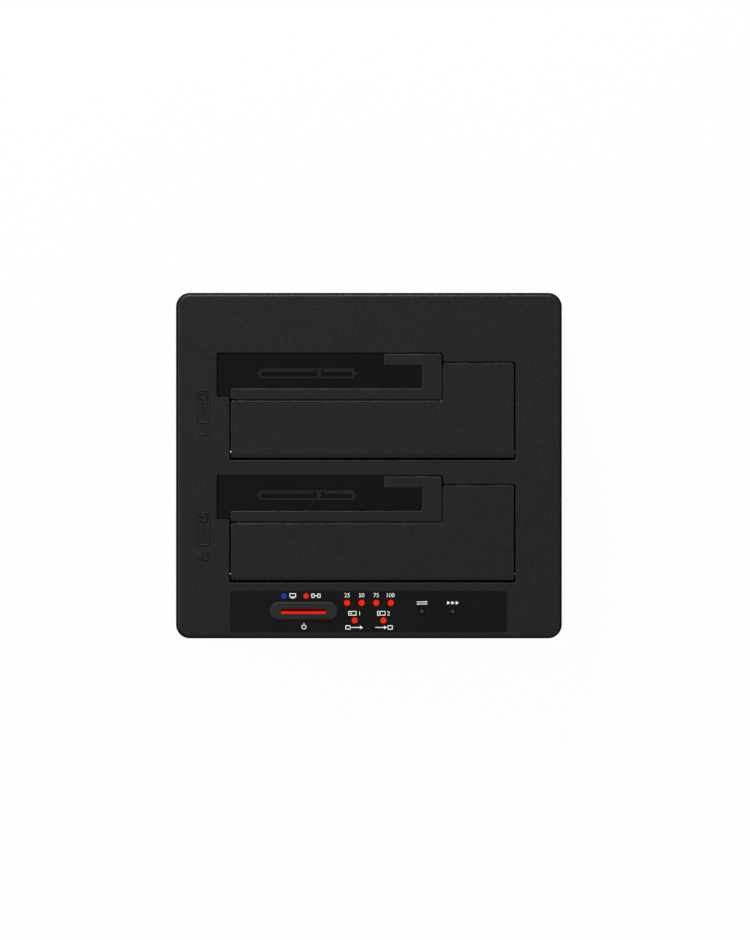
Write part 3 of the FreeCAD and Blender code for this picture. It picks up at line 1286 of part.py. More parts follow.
def ribbon_cable():
    """A flat strip with one gentle S-bend between its two plugs."""
    x0 = panel_mid_x - RIBBON_WIDTH / 2
    (y_top, z_top), (y_low, z_low) = ribbon_ends()
    shift, middle = y_low - y_top, (z_top + z_low) / 2
    turn = math.acos(1 - abs(shift) / 2 / RIBBON_BEND_R)
    rise = RIBBON_BEND_R * math.sin(turn)
    side = math.copysign(1, shift)
    strip = []
    for offset in (-RIBBON_THICKNESS / 2, RIBBON_THICKNESS / 2):
        upper_r, lower_r = RIBBON_BEND_R - side * offset, RIBBON_BEND_R + side * offset
        upper_c = V(x0, y_top + side * RIBBON_BEND_R, middle + rise)
        lower_c = V(x0, y_low - side * RIBBON_BEND_R, middle - rise)
        points = [V(x0, y_top + offset, z_top), V(x0, y_top + offset, middle + rise)]
        half_way = upper_c + V(0, -side * upper_r * math.cos(turn), -upper_r * math.sin(turn))
        upper_mid = upper_c + V(0, -side * upper_r * math.cos(turn / 2),
                                -upper_r * math.sin(turn / 2))
        lower_mid = lower_c + V(0, side * lower_r * math.cos(turn / 2),
                                lower_r * math.sin(turn / 2))
        end = V(x0, y_low + offset, middle - rise)
        strip.append([Part.LineSegment(*points).toShape(),
                      Part.Arc(points[1], upper_mid, half_way).toShape(),
                      Part.Arc(half_way, lower_mid, end).toShape(),
                      Part.LineSegment(end, V(x0, y_low + offset, z_low)).toShape()])
    near, far = strip
    caps = [Part.LineSegment(V(x0, y_top - RIBBON_THICKNESS / 2, z_top),
                             V(x0, y_top + RIBBON_THICKNESS / 2, z_top)).toShape(),
            Part.LineSegment(V(x0, y_low - RIBBON_THICKNESS / 2, z_low),
                             V(x0, y_low + RIBBON_THICKNESS / 2, z_low)).toShape()]
    outline = Part.Wire(Part.__sortEdges__(near + far + caps))
    return Part.Face(outline).extrude(V(RIBBON_WIDTH, 0, 0))


def ribbon_plugs():
    x = panel_mid_x
    (y_top, z_top), (y_low, z_low) = ribbon_ends()
    half, wide = RIBBON_PLUG_LENGTH / 2, RIBBON_PLUG_WIDTH / 2
    return Part.makeCompound([
        box(x - half, x + half, y_top - wide, y_top + wide, z_top, panel_board_z),
        box(x - half, x + half, y_low - wide, y_low + wide, board_top, z_low)])


# ---- build ----------------------------------------------------------------------------------------
def nodes():
    """Every sub-part by its node name."""
    made = {
        "top_cover": top_cover(),
        "base_tray": base_tray(),
        "rubber_feet": rubber_feet(),
        "case_screws": case_screws(),
        "bay_liner_screws": bay_liner_screws(),
        "main_board": main_board(),
        "main_board_screws": main_board_screws(),
        "bridge_chip": bridge_chip(),
        "firmware_chip": firmware_chip(),
        "clock_crystal": clock_crystal(),
        "filter_capacitors": filter_capacitors(),
        "power_inductors": power_inductors(),
        "surface_parts": surface_parts(),
        "dc_jack_housing": dc_jack_housing(),
        "dc_jack_pin": dc_jack_pin(),
        "usb_port_shell": usb_port_shell(),
        "usb_port_insert": usb_port_insert(),
        "usb_contacts": usb_contacts(),
        "control_panel": control_panel(),
        "red_light_pipes": red_light_pipes(),
        "blue_light_pipe": blue_light_pipe(),
        "indicator_leds": indicator_leds(),
        "power_button": power_button(),
        "power_light_bar": power_light_bar(),
        "power_switch_body": power_switch_body(),
        "power_switch_plunger": power_switch_plunger(),
        "mode_button": tip_button(0),
        "start_button": tip_button(1),
        "mode_switch_plunger": switch_plunger(0),
        "start_switch_plunger": switch_plunger(1),
        "button_switches": button_switches(),
        "panel_board": panel_board(),
        "panel_board_screws": panel_board_screws(),
        "ribbon_cable": ribbon_cable(),
        "ribbon_plugs": ribbon_plugs(),
    }
    for bay in range(BAY_COUNT):
        number = bay + 1
        made[f"bay_liner_{number}"] = bay_liner(bay)
        made[f"bay_door_{number}"] = bay_door(bay)
        made[f"drive_guide_frame_{number}"] = drive_guide_frame(bay)
        made[f"guide_frame_screws_{number}"] = guide_frame_screws(bay)
        made[f"hinge_pin_{number}"] = hinge_pin(bay)
        made[f"door_spring_{number}"] = door_spring(bay)
        made[f"sata_socket_{number}"] = sata_socket(bay)
        made[f"sata_contacts_{number}"] = sata_contacts(bay)
    return made


def main():
    os.makedirs("parts", exist_ok=True)
    for name, shape in nodes().items():
        if not shape.isValid():
            raise ValueError(f"{name} is not a valid shape")
        shape.exportStep(f"parts/{name}.step")


main()
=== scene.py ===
"""Two-bay drive duplicator: the finish of every part, the printed legends, and the studio.

Laid out as an add-on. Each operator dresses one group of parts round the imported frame, and
main() runs them in order.
"""

import math

import bmesh
import bpy
from bpy.props import FloatProperty, FloatVectorProperty, IntProperty, PointerProperty
from bpy.types import Operator, Panel, PropertyGroup
from mathutils import Color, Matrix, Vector


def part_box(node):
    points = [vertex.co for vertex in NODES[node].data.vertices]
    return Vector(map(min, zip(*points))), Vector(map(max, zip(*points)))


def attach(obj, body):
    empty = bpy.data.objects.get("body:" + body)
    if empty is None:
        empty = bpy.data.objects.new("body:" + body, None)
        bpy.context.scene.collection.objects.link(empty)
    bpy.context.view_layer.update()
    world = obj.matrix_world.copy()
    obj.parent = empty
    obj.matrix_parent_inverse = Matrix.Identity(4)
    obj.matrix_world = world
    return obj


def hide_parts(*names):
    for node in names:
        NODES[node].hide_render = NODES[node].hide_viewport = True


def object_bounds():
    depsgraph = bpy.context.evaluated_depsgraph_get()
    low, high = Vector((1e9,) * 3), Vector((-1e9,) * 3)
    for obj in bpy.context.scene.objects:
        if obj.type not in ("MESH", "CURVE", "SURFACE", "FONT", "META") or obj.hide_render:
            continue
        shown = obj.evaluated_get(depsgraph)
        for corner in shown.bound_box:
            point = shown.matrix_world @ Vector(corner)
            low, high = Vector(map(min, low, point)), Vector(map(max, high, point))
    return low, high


bl_info = {
    "name": "Drive duplicator",
    "version": (1, 0, 0),
    "blender": (4, 5, 0),
    "location": "View3D > Sidebar > Duplicator",
    "description": "Dresses a two-bay drive duplicator and sets up its studio",
    "category": "Object",
}

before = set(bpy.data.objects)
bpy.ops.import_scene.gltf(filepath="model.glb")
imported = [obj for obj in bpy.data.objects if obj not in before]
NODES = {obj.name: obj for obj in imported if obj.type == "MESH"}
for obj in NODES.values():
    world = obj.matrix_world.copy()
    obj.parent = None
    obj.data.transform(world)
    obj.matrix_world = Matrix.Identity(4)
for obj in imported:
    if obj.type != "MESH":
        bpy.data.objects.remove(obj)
CAD_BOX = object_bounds()
MM = 0.001
BAYS = ("1", "2")

GUIDE_BAR = 3.72 * MM           # width of a guide frame's bars
LINER_LEDGE = 6.7 * MM          # from a liner's left end to its open slot
NOTCH_LEDGE = 0.8 * MM          # from a guide frame's front to the front of the bay's notch

# Degrees.
CIRCLE = 360
MARK_STEP = 12                  # between the points of a raised mark's rounds
PRINT_STEP = 15                 # between the points of a printed round line
DOT_STEP = 18                   # between the points of a printed dot


# ---- shader maths -------------------------------------------------------------------------
class Value:
    """A number socket of a finish. Arithmetic on it adds Math nodes."""

    def __init__(self, finish, socket):
        self.finish = finish
        self.socket = socket

    def maths(self, operation, *terms):
        inputs = dict(enumerate(terms))
        return self.finish.value("ShaderNodeMath", {"operation": operation}, inputs)

    def __add__(self, other):
        return self.maths("ADD", self, other)

    def __sub__(self, other):
        return self.maths("SUBTRACT", self, other)

    def __rsub__(self, other):
        return self.maths("SUBTRACT", other, self)

    def __mul__(self, other):
        return self.maths("MULTIPLY", self, other)

    def __truediv__(self, other):
        return self.maths("DIVIDE", self, other)

    def __pow__(self, other):
        return self.maths("POWER", self, other)

    def __gt__(self, other):
        return self.maths("GREATER_THAN", self, other)

    def __lt__(self, other):
        return self.maths("LESS_THAN", self, other)

    __radd__ = __add__
    __rmul__ = __mul__

    def least(self, other):
        return self.maths("MINIMUM", self, other)

    def most(self, other):
        return self.maths("MAXIMUM", self, other)

    def held(self):
        """The value, held from 0 to 1."""
        return self.least(1.0).most(0.0)

    def above(self, limit, over):
        """0 up to the limit, rising to 1 where the value is that much over it."""
        return ((self - limit) / over).held()

    def below(self, limit, under):
        """0 down to the limit, rising to 1 where the value is that much under it."""
        return ((limit - self) / under).held()

    def sine(self):
        return self.maths("SINE", self)


class Finish:
    """One material, built node by node on a Principled shader."""

    def __init__(self, name, tree=None):
        if tree is None:
            self.material = bpy.data.materials.new(name)
            self.material.use_nodes = True
            tree = self.material.node_tree
        self.tree = tree
        self.shader = tree.nodes.get("Principled BSDF")

    def node(self, kind, settings=None, inputs=None):
        """A node of that kind: its settings first, then the values or links of its sockets."""
        node = self.tree.nodes.new(kind)
        for name, setting in (settings or {}).items():
            setattr(node, name, setting)
        for key, given in (inputs or {}).items():
            self.feed(node.inputs[key], given)
        return node

    def feed(self, socket, given):
        if isinstance(given, Value):
            self.tree.links.new(given.socket, socket)
        elif isinstance(given, bpy.types.NodeSocket):
            self.tree.links.new(given, socket)
        else:
            socket.default_value = given

    def value(self, kind, settings=None, inputs=None):
        return Value(self, self.node(kind, settings, inputs).outputs[0])

    def place(self):
        """The point on the part, in metres, as a vector socket."""
        return self.node("ShaderNodeTexCoord").outputs["Object"]

    def split(self, vector):
        """The three parts of a vector socket, as values."""
        node = self.node("ShaderNodeSeparateXYZ", inputs={0: vector})
        return [Value(self, output) for output in node.outputs]

    def axes(self):
        """The point on the part as three values, in metres."""
        return self.split(self.place())

    def level(self):
        """How level the face is: 1 facing up, 0 upright, -1 facing down."""
        return self.split(self.node("ShaderNodeTexCoord").outputs["Normal"])[2]

    def noise(self, size, detail=2.0, stretch=(1.0, 1.0, 1.0)):
        """Noise of that grain size in metres, from 0 to 1."""
        place = self.node("ShaderNodeMapping", inputs={"Vector": self.place(), "Scale": stretch})
        inputs = {"Vector": place.outputs[0], "Scale": 1.0 / size, "Detail": detail}
        return self.value("ShaderNodeTexNoise", inputs=inputs)

    def blend(self, factor, first, second):
        """A colour socket between two colours."""
        node = self.node("ShaderNodeMix", {"data_type": "RGBA", "clamp_factor": True})
        self.feed(node.inputs[0], factor)
        self.feed(node.inputs[6], opaque(first))
        self.feed(node.inputs[7], opaque(second))
        return node.outputs[2]

    def bump(self, height, depth):
        """A normal socket: height from 0 to 1 stands for that depth in metres."""
        inputs = {"Distance": depth, "Height": height}
        return self.node("ShaderNodeBump", inputs=inputs).outputs[0]

    def shade(self, **sockets):
        """Feeds the Principled shader; a socket's name has underscores for its spaces."""
        for name, given in sockets.items():
            self.feed(self.shader.inputs[name.replace("_", " ")], opaque(given))
        return self.material


def opaque(colour):
    """A colour with its alpha; anything else as it is."""
    if isinstance(colour, (tuple, Color)) and len(colour) == 3:
        return (*colour, 1.0)
    return colour


def scaled(colour, factor):
    return tuple(channel * factor for channel in colour)


# ---- pieces -------------------------------------------------------------------------------
def dress(material, *names):
    """Gives CAD nodes a finish, in every slot they have."""
    for name in names:
        mesh = NODES[name].data
        if not mesh.materials:
            mesh.materials.append(material)
        for i in range(len(mesh.materials)):
            mesh.materials[i] = material


def both(stem):
    """The names of a node that each bay has."""
    return [f"{stem}_{bay}" for bay in BAYS]


def arc(x, y, radius, start, turn, step):
    """Points round a centre from start through turn, one about every step, in degrees."""
    count = max(6, round(abs(turn) / step))
    angles = [math.radians(start + turn * i / count) for i in range(count + 1)]
    return [(x + radius * math.cos(angle), y + radius * math.sin(angle)) for angle in angles]


def bead(name, runs, thickness, roundness, material):
    """A round wire or bead along straight runs; a run is its points and whether it closes."""
    curve = bpy.data.curves.new(name, "CURVE")
    curve.dimensions = "3D"
    curve.bevel_depth = thickness / 2
    curve.bevel_resolution = roundness
    curve.use_fill_caps = True
    for points, closed in runs:
        spline = curve.splines.new("POLY")
        spline.points.add(len(points) - 1)
        for point, place in zip(spline.points, points):
            point.co = (*place, 1.0)
        spline.use_cyclic_u = closed
    curve.materials.append(material)
    return curve


def add(name, data):
    made = bpy.data.objects.new(name, data)
    bpy.context.scene.collection.objects.link(made)
    return made


def add_piece(name, data, body):
    """A new piece that rides on a body."""
    piece = add(name, data)
    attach(piece, body)
    return piece


def wound(axis, radius, left, right, turns):
    """Points of a coil along X from its top at the left to its front at the right.

    That is a quarter past whole turns.
    """
    steps = 24
    count = round((turns + 0.25) * steps)
    points = []
    for i in range(count + 1):
        angle = math.tau * (0.25 + i / steps)
        points.append((left + (right - left) * i / count,
                       axis.y + radius * math.cos(angle),
                       axis.z + radius * math.sin(angle)))
    return points


def islands(name):
    """The centre of each separate solid in a CAD node, in order along X and then Y."""
    shape = bmesh.new()
    shape.from_mesh(NODES[name].data)
    bmesh.ops.remove_doubles(shape, verts=shape.verts, dist=1e-6)
    centres = []
    unseen = set(shape.verts)
    while unseen:
        group, edge = [], [unseen.pop()]
        while edge:
            vert = edge.pop()
            group.append(vert.co.copy())
            for link in vert.link_edges:
                other = link.other_vert(vert)
                if other in unseen:
                    unseen.discard(other)
                    edge.append(other)
        low = Vector([min(p[i] for p in group) for i in range(3)])
        high = Vector([max(p[i] for p in group) for i in range(3)])
        centres.append((low + high) / 2)
    shape.free()
    return sorted(centres, key=lambda p: (round(p.x, 4), round(p.y, 4)))


def middle(name):
    low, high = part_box(name)
    return (low + high) / 2


# ---- sizes and colours --------------------------------------------------------------------
def colour_property(name, description, default):
    return FloatVectorProperty(name=name, description=description, default=default,
                               subtype="COLOR", size=3, min=0.0, max=1.0)


def length_property(name, description, default):
    return FloatProperty(name=name, description=description, default=default,
                         subtype="DISTANCE", unit="LENGTH", min=0.0, precision=5)


def factor_property(name, description, default):
    return FloatProperty(name=name, description=description, default=default,
                         subtype="FACTOR", min=0.0, max=1.0)


class DuplicatorPlastics(PropertyGroup):
    """Colours and grain of the moulded parts."""

    case: colour_property("Case", "Case and tray", (0.0176, 0.0176, 0.0176))
    door: colour_property("Doors", "Bay doors and guide frames", (0.0175, 0.0175, 0.0175))
    well: colour_property("Wells", "Liners inside the bays", (0.0203, 0.0203, 0.0203))
    socket: colour_property("Sockets", "Drive sockets", (0.042, 0.042, 0.042))
    panel: colour_property("Panel", "Control panel", (0.0070, 0.0070, 0.0070))
    button: colour_property("Button", "Power button's cap", (0.0205, 0.0205, 0.0205))
    grain_size: length_property("Grain size", "Width of the moulded grain", 0.34 * MM)
    grain_depth: length_property("Grain depth", "Depth of the moulded grain", 0.046 * MM)
    grain_tone: factor_property("Grain tone", "How far the grain changes the colour", 0.34)
    gloss: factor_property("Gloss", "Specular level of the matt plastics", 0.36)


class DuplicatorLights(PropertyGroup):
    """Colours of the lit parts."""

    red: colour_property("Red", "Lit red lenses", (1.0, 0.0203, 0.0))
    red_core: colour_property("Red core", "Middle of a red lens", (0.737, 0.0185, 0.0))
    blue: colour_property("Blue", "Lit blue lens", (0.0091, 0.0595, 0.491))
    blue_core: colour_property("Blue core", "Middle of the blue lens", (0.0103, 0.0395, 0.279))
    bar: colour_property("Bar", "Lit part of the power button's bar", (1.0, 0.0152, 0.0))
    bar_shade: colour_property("Bar shade", "Rear edge of the bar", (0.0452, 0.0, 0.0))
    core_radius: length_property("Core radius", "Radius of a lens's darker middle", 0.55 * MM)
    bar_shade_width: length_property("Bar shade width", "Rear edge in the shade", 0.92 * MM)


class DuplicatorBays(PropertyGroup):
    """The doors' springs."""

    wire: length_property("Wire", "Thickness of the spring wire", 0.35 * MM)
    turns: IntProperty(name="Turns", description="Whole turns of a spring", default=8, min=1)


class DuplicatorMarks(PropertyGroup):
    """The raised marks beside the bays."""

    inset: length_property("Inset", "Case side to the marks' foot", 7.45 * MM)
    start: length_property("Start", "Rear edge of the bay to the marks", 12.6 * MM)
    height: length_property("Height", "Height of the marks", 3.9 * MM)
    length: length_property("Length", "Length of the drive pictogram", 11.2 * MM)
    number: length_property("Number", "Start of the marks to the number", 15.3 * MM)
    stroke: length_property("Stroke", "Width of the raised bead", 0.80 * MM)
    proud: length_property("Proud", "Height of the bead over the case", 0.36 * MM)


class DuplicatorLegends(PropertyGroup):
    """The printed marks on the control panel."""

    ink: colour_property("Ink", "Printed marks", (0.95, 0.95, 0.95))
    thickness: length_property("Thickness", "Height of the print over the panel", 0.02 * MM)
    stroke: length_property("Stroke", "Width of a printed line", 0.27 * MM)
    numeral: length_property("Numeral", "Height of the numbers", 1.45 * MM)


class DuplicatorStage(PropertyGroup):
    """The studio."""

    floor: colour_property("Floor", "Floor", (0.9, 0.9, 0.9))
    white: factor_property("White", "How much of the floor's look is plain white", 0.95)
    key: FloatProperty(name="Key", description="Lamp behind the object", default=8.0,
                       unit="POWER", min=0.0)
    side: FloatProperty(name="Side", description="Lamp to the left", default=2.4,
                        unit="POWER", min=0.0)
    fill: FloatProperty(name="Fill", description="Lamp in front to the right", default=3.0,
                        unit="POWER", min=0.0)
    top: FloatProperty(name="Top", description="Straight down light", default=1.46, min=0.0)
    room: FloatProperty(name="Room", description="Light of the room", default=0.05, min=0.0)


def settings():
    return bpy.context.scene.duplicator


class DuplicatorSettings(PropertyGroup):
    """Every group of settings."""

    plastics: PointerProperty(type=DuplicatorPlastics)
    lights: PointerProperty(type=DuplicatorLights)
    bays: PointerProperty(type=DuplicatorBays)
    marks: PointerProperty(type=DuplicatorMarks)
    legends: PointerProperty(type=DuplicatorLegends)
    stage: PointerProperty(type=DuplicatorStage)


# ---- finishes -----------------------------------------------------------------------------
# Where a rounded edge's painted highlight and painted shade begin, by how level it is: 1 faces up
# and 0 is upright.
PAINTED_HIGHLIGHT_BELOW = 0.945
PAINTED_SHADE_BELOW = 0.93
UPRIGHT = 0.04


def grained_plastic(name, colour, roughness=0.38, painted_shade_rounds=False):
    """Matt plastic from a spark-eroded mould, whose rounded edges are smoother and carry a painted
    highlight that makes them paler.

    With painted shade rounds, the steeper part of a rounded edge is rough and painted dark as
    shade instead.
    """
    plastics = settings().plastics
    finish = Finish(name)
    level = finish.level()
    rounded = level > UPRIGHT
    edge = level.below(PAINTED_HIGHLIGHT_BELOW, 0.03) * rounded
    grain = finish.noise(plastics.grain_size, 1.0)
    fine = finish.noise(plastics.grain_size * 0.45, 1.0)
    mottle = finish.noise(14 * MM, 3.0)
    spread = plastics.grain_tone
    grain_contrast, mottle_contrast = 2.4, 0.15
    tone = (grain - 0.5) * grain_contrast + (mottle - 0.5) * mottle_contrast + 0.5
    face = finish.blend(tone, scaled(colour, 1 - spread), scaled(colour, 1 + spread))
    # Painted highlight: rounded edges are painted paler than the face; they are also smoother.
    face = finish.blend(edge, face, scaled(colour, 1.45))
    rough = roughness - 0.05 + fine * 0.1 - edge * 0.1
    if painted_shade_rounds:
        # Painted shade: the steep part of a round is painted near black; it is also rougher.
        painted_shade = level.below(PAINTED_SHADE_BELOW, 0.12) * rounded
        face = finish.blend(painted_shade, face, scaled(colour, 0.05))
        rough = rough + painted_shade * 0.6
    return finish.shade(Base_Color=face, Roughness=rough.held(),
                        Specular_IOR_Level=plastics.gloss,
                        Normal=finish.bump(grain * 0.75 + fine * 0.25, plastics.grain_depth))


def well_plastic(name, colour, slot):
    """Moulded plastic, faint drag marks; painted shade darkens it to the right and near-blackens
    the floor outside the open slot.
    """
    plastics = settings().plastics
    finish = Finish(name)
    drag = finish.noise(0.6 * MM, stretch=(1.0, 1.0, 0.05))
    mottle = finish.noise(9 * MM)
    x, y, _ = finish.axes()
    (x0, y0), (x1, _), (notch_x, notch_y) = slot
    soft = 0.3 * MM
    along = y.above(y0, soft).least(x.below(x1, soft))
    notch = y.above(notch_y, soft).least(x.below(notch_x, soft))
    inside = along.most(notch).least(x.above(x0, soft))
    wall = finish.level() < 0.5
    # Painted shade: the colour darkens from the slot's left end towards its right end, over the
    # mottle and drag marks.
    lit = (0.5 + mottle * 0.25 + drag * 0.1 - (x - x0) / (x1 - x0) * 0.6).held()
    painted_shade_tone = finish.blend(lit, scaled(colour, 0.8), scaled(colour, 1.07))
    # Painted shade: the level floor outside the open slot is near black; the slot and the walls
    # keep the lighter tone.
    return finish.shade(
        Base_Color=finish.blend(inside.most(wall), scaled(colour, 0.08), painted_shade_tone),
        Roughness=0.66 + drag * 0.1,
        Specular_IOR_Level=plastics.gloss * 0.6,
        Normal=finish.bump(drag, 0.004 * MM))


def socket_plastic(name, colour, top):
    """Satin plastic, with painted shade that darkens it down in the slots below the top of the
    nose.
    """
    finish = Finish(name)
    _, _, z = finish.axes()
    haze = finish.noise(3 * MM)
    # Painted shade: below the top of the nose the slots are painted darker.
    painted_shade_tone = z.above(top - 0.4 * MM, 0.3 * MM)
    rim = finish.blend(haze, scaled(colour, 0.94), scaled(colour, 1.06))
    return finish.shade(Base_Color=finish.blend(painted_shade_tone, scaled(colour, 0.40), rim),
                        Roughness=0.56 + haze * 0.08, Specular_IOR_Level=0.2)


def tip_plastic(name, places):
    """Dark push pins with a painted highlight that makes the middle of their domes paler."""
    finish = Finish(name)
    x, y, _ = finish.axes()
    dome = 1.0 * MM
    # Painted highlight: each dome is painted paler towards its middle.
    painted_highlight = (1 - nearest(x, y, places) / dome).most(0.0) ** 2.0
    haze = finish.noise(0.4 * MM)
    return finish.shade(Base_Color=finish.blend(painted_highlight, (0.011, 0.011, 0.011), (0.07, 0.07, 0.07)),
                        Roughness=0.4 + haze * 0.08, Specular_IOR_Level=0.3)


def nearest(x, y, places):
    """Distance in plan to the nearest of the places, as a value."""
    near = None
    for place in places:
        across, along = x - place.x, y - place.y
        distance = (across * across + along * along) ** 0.5
        near = distance if near is None else near.least(distance)
    return near


def panel_plastic(name, colour):
    """Satin black panel, smoother than the case, with a very fine orange peel."""
    finish = Finish(name)
    peel = finish.noise(1.1 * MM)
    haze = finish.noise(18 * MM, 3.0)
    return finish.shade(
        Base_Color=finish.blend(haze, scaled(colour, 0.94), scaled(colour, 1.06)),
        Roughness=0.36 + haze * 0.08,
        Specular_IOR_Level=0.3,
        Normal=finish.bump(peel, 0.0025 * MM))


def cap_plastic(name, colour, cap):
    """The power button's satin cap, with a painted highlight along its front edge."""
    finish = Finish(name)
    _, y, _ = finish.axes()
    # Painted highlight: a pale band along the cap's front edge.
    front = y.below(cap[0].y + 0.75 * MM, 0.3 * MM)
    haze = finish.noise(5 * MM)
    ripple = finish.noise(0.7 * MM)
    face = finish.blend(haze, scaled(colour, 0.95), scaled(colour, 1.05))
    return finish.shade(Base_Color=finish.blend(front, face, scaled(colour, 2.2)),
                        Roughness=0.46 + haze * 0.08, Specular_IOR_Level=0.3,
                        Normal=finish.bump(ripple, 0.003 * MM))


def satin_plastic(name, colour, roughness=0.42):
    """Smooth moulded plastic for plugs, switches and housings."""
    finish = Finish(name)
    ripple = finish.noise(0.7 * MM)
    haze = finish.noise(5 * MM)
    return finish.shade(
        Base_Color=finish.blend(haze, scaled(colour, 0.92), scaled(colour, 1.08)),
        Roughness=roughness - 0.04 + haze * 0.08,
        Specular_IOR_Level=0.35,
        Normal=finish.bump(ripple, 0.003 * MM))


def foot_rubber(name):
    """Dusty black rubber with a fine tooth."""
    finish = Finish(name)
    speck = finish.noise(0.25 * MM, 3.0)
    dust = finish.noise(3 * MM, 3.0)
    return finish.shade(
        Base_Color=finish.blend(dust * dust, (0.014, 0.014, 0.014), (0.04, 0.039, 0.037)),
        Roughness=0.8 + speck * 0.12,
        Specular_IOR_Level=0.25,
        Normal=finish.bump(speck, 0.02 * MM))


def metal(name, colour, roughness, stretch=(1.0, 1.0, 1.0)):
    """Bare metal with a fine grain, which a stretch draws out into lines along one axis."""
    finish = Finish(name)
    lines = finish.noise(0.5 * MM, 3.0, stretch)
    stain = finish.noise(2.5 * MM)
    return finish.shade(
        Base_Color=finish.blend(stain, scaled(colour, 0.86), colour),
        Metallic=1.0,
        Roughness=roughness + lines * 0.12,
        Normal=finish.bump(lines, 0.002 * MM))


def lit_lens(name, centres, edge, core):
    """A lit lens: bright round the edge and darker over the lamp in its middle."""
    lights = settings().lights
    finish = Finish(name)
    x, y, _ = finish.axes()
    inside = nearest(x, y, centres) < lights.core_radius
    ripple = finish.noise(0.3 * MM)
    glow = finish.blend(inside * 0.85 + ripple * 0.15, edge, core)
    return finish.shade(Base_Color=scaled(edge, 0.1), Roughness=0.3, Emission_Color=glow,
                        Emission_Strength=1.0, Specular_IOR_Level=0.1)


def lit_bar(name):
    """The power button's light bar: lit, with its rear edge in the button's shade."""
    lights = settings().lights
    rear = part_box("power_light_bar")[1].y
    finish = Finish(name)
    _, y, _ = finish.axes()
    shaded = y.above(rear - lights.bar_shade_width, 0.15 * MM)
    streak = finish.noise(1.2 * MM)
    glow = finish.blend(shaded, lights.bar, lights.bar_shade)
    return finish.shade(Base_Color=scaled(lights.bar_shade, 0.5), Roughness=0.45 + streak * 0.1,
                        Emission_Color=glow, Emission_Strength=1.0, Specular_IOR_Level=0.05)


def ink_finish(name):
    """Matt ink, a little thinner in patches."""
    legends = settings().legends
    finish = Finish(name)
    patch = finish.noise(0.5 * MM)
    return finish.shade(
        Base_Color=finish.blend(patch, scaled(legends.ink, 0.9), legends.ink),
        Roughness=0.5 + patch * 0.1, Specular_IOR_Level=0.2)


def board_finish(name):
    """Green solder mask with faint tracks and pads under it."""
    finish = Finish(name)
    tracks = finish.value("ShaderNodeTexBrick", {"offset": 0.37}, {
        "Vector": finish.place(), "Scale": 260.0, "Mortar Size": 0.06,
        "Color1": (0, 0, 0, 1), "Color2": (0, 0, 0, 1), "Mortar": (1, 1, 1, 1)})
    mottle = finish.noise(7 * MM)
    mask = finish.blend(mottle, (0.010, 0.075, 0.030), (0.014, 0.095, 0.040))
    return finish.shade(Base_Color=finish.blend(tracks * 0.6, mask, (0.03, 0.20, 0.08)),
                        Roughness=0.25 + mottle * 0.1,
                        Normal=finish.bump(tracks, 0.01 * MM))


def ceramic_finish(name):
    """Fired ceramic of small surface parts, from brown to buff."""
    finish = Finish(name)
    speck = finish.noise(0.4 * MM)
    return finish.shade(Base_Color=finish.blend(speck, (0.20, 0.14, 0.09), (0.36, 0.28, 0.19)),
                        Roughness=0.4 + speck * 0.1)


def ribbon_finish(name):
    """Flat cable: pale insulation with a ridge over each wire, and painted shade in the valleys
    between the ridges.
    """
    finish = Finish(name)
    x, _, _ = finish.axes()
    pitch = 1.0 * MM
    ridge = (x * (math.tau / pitch)).sine() * 0.5 + 0.5
    # Painted shade: the valleys between the ridges are painted darker than the ridge tops.
    return finish.shade(
        Base_Color=finish.blend(ridge, (0.45, 0.45, 0.43), (0.62, 0.62, 0.6)),
        Roughness=0.5 + finish.noise(2 * MM) * 0.1,
        Normal=finish.bump(ridge, 0.05 * MM))


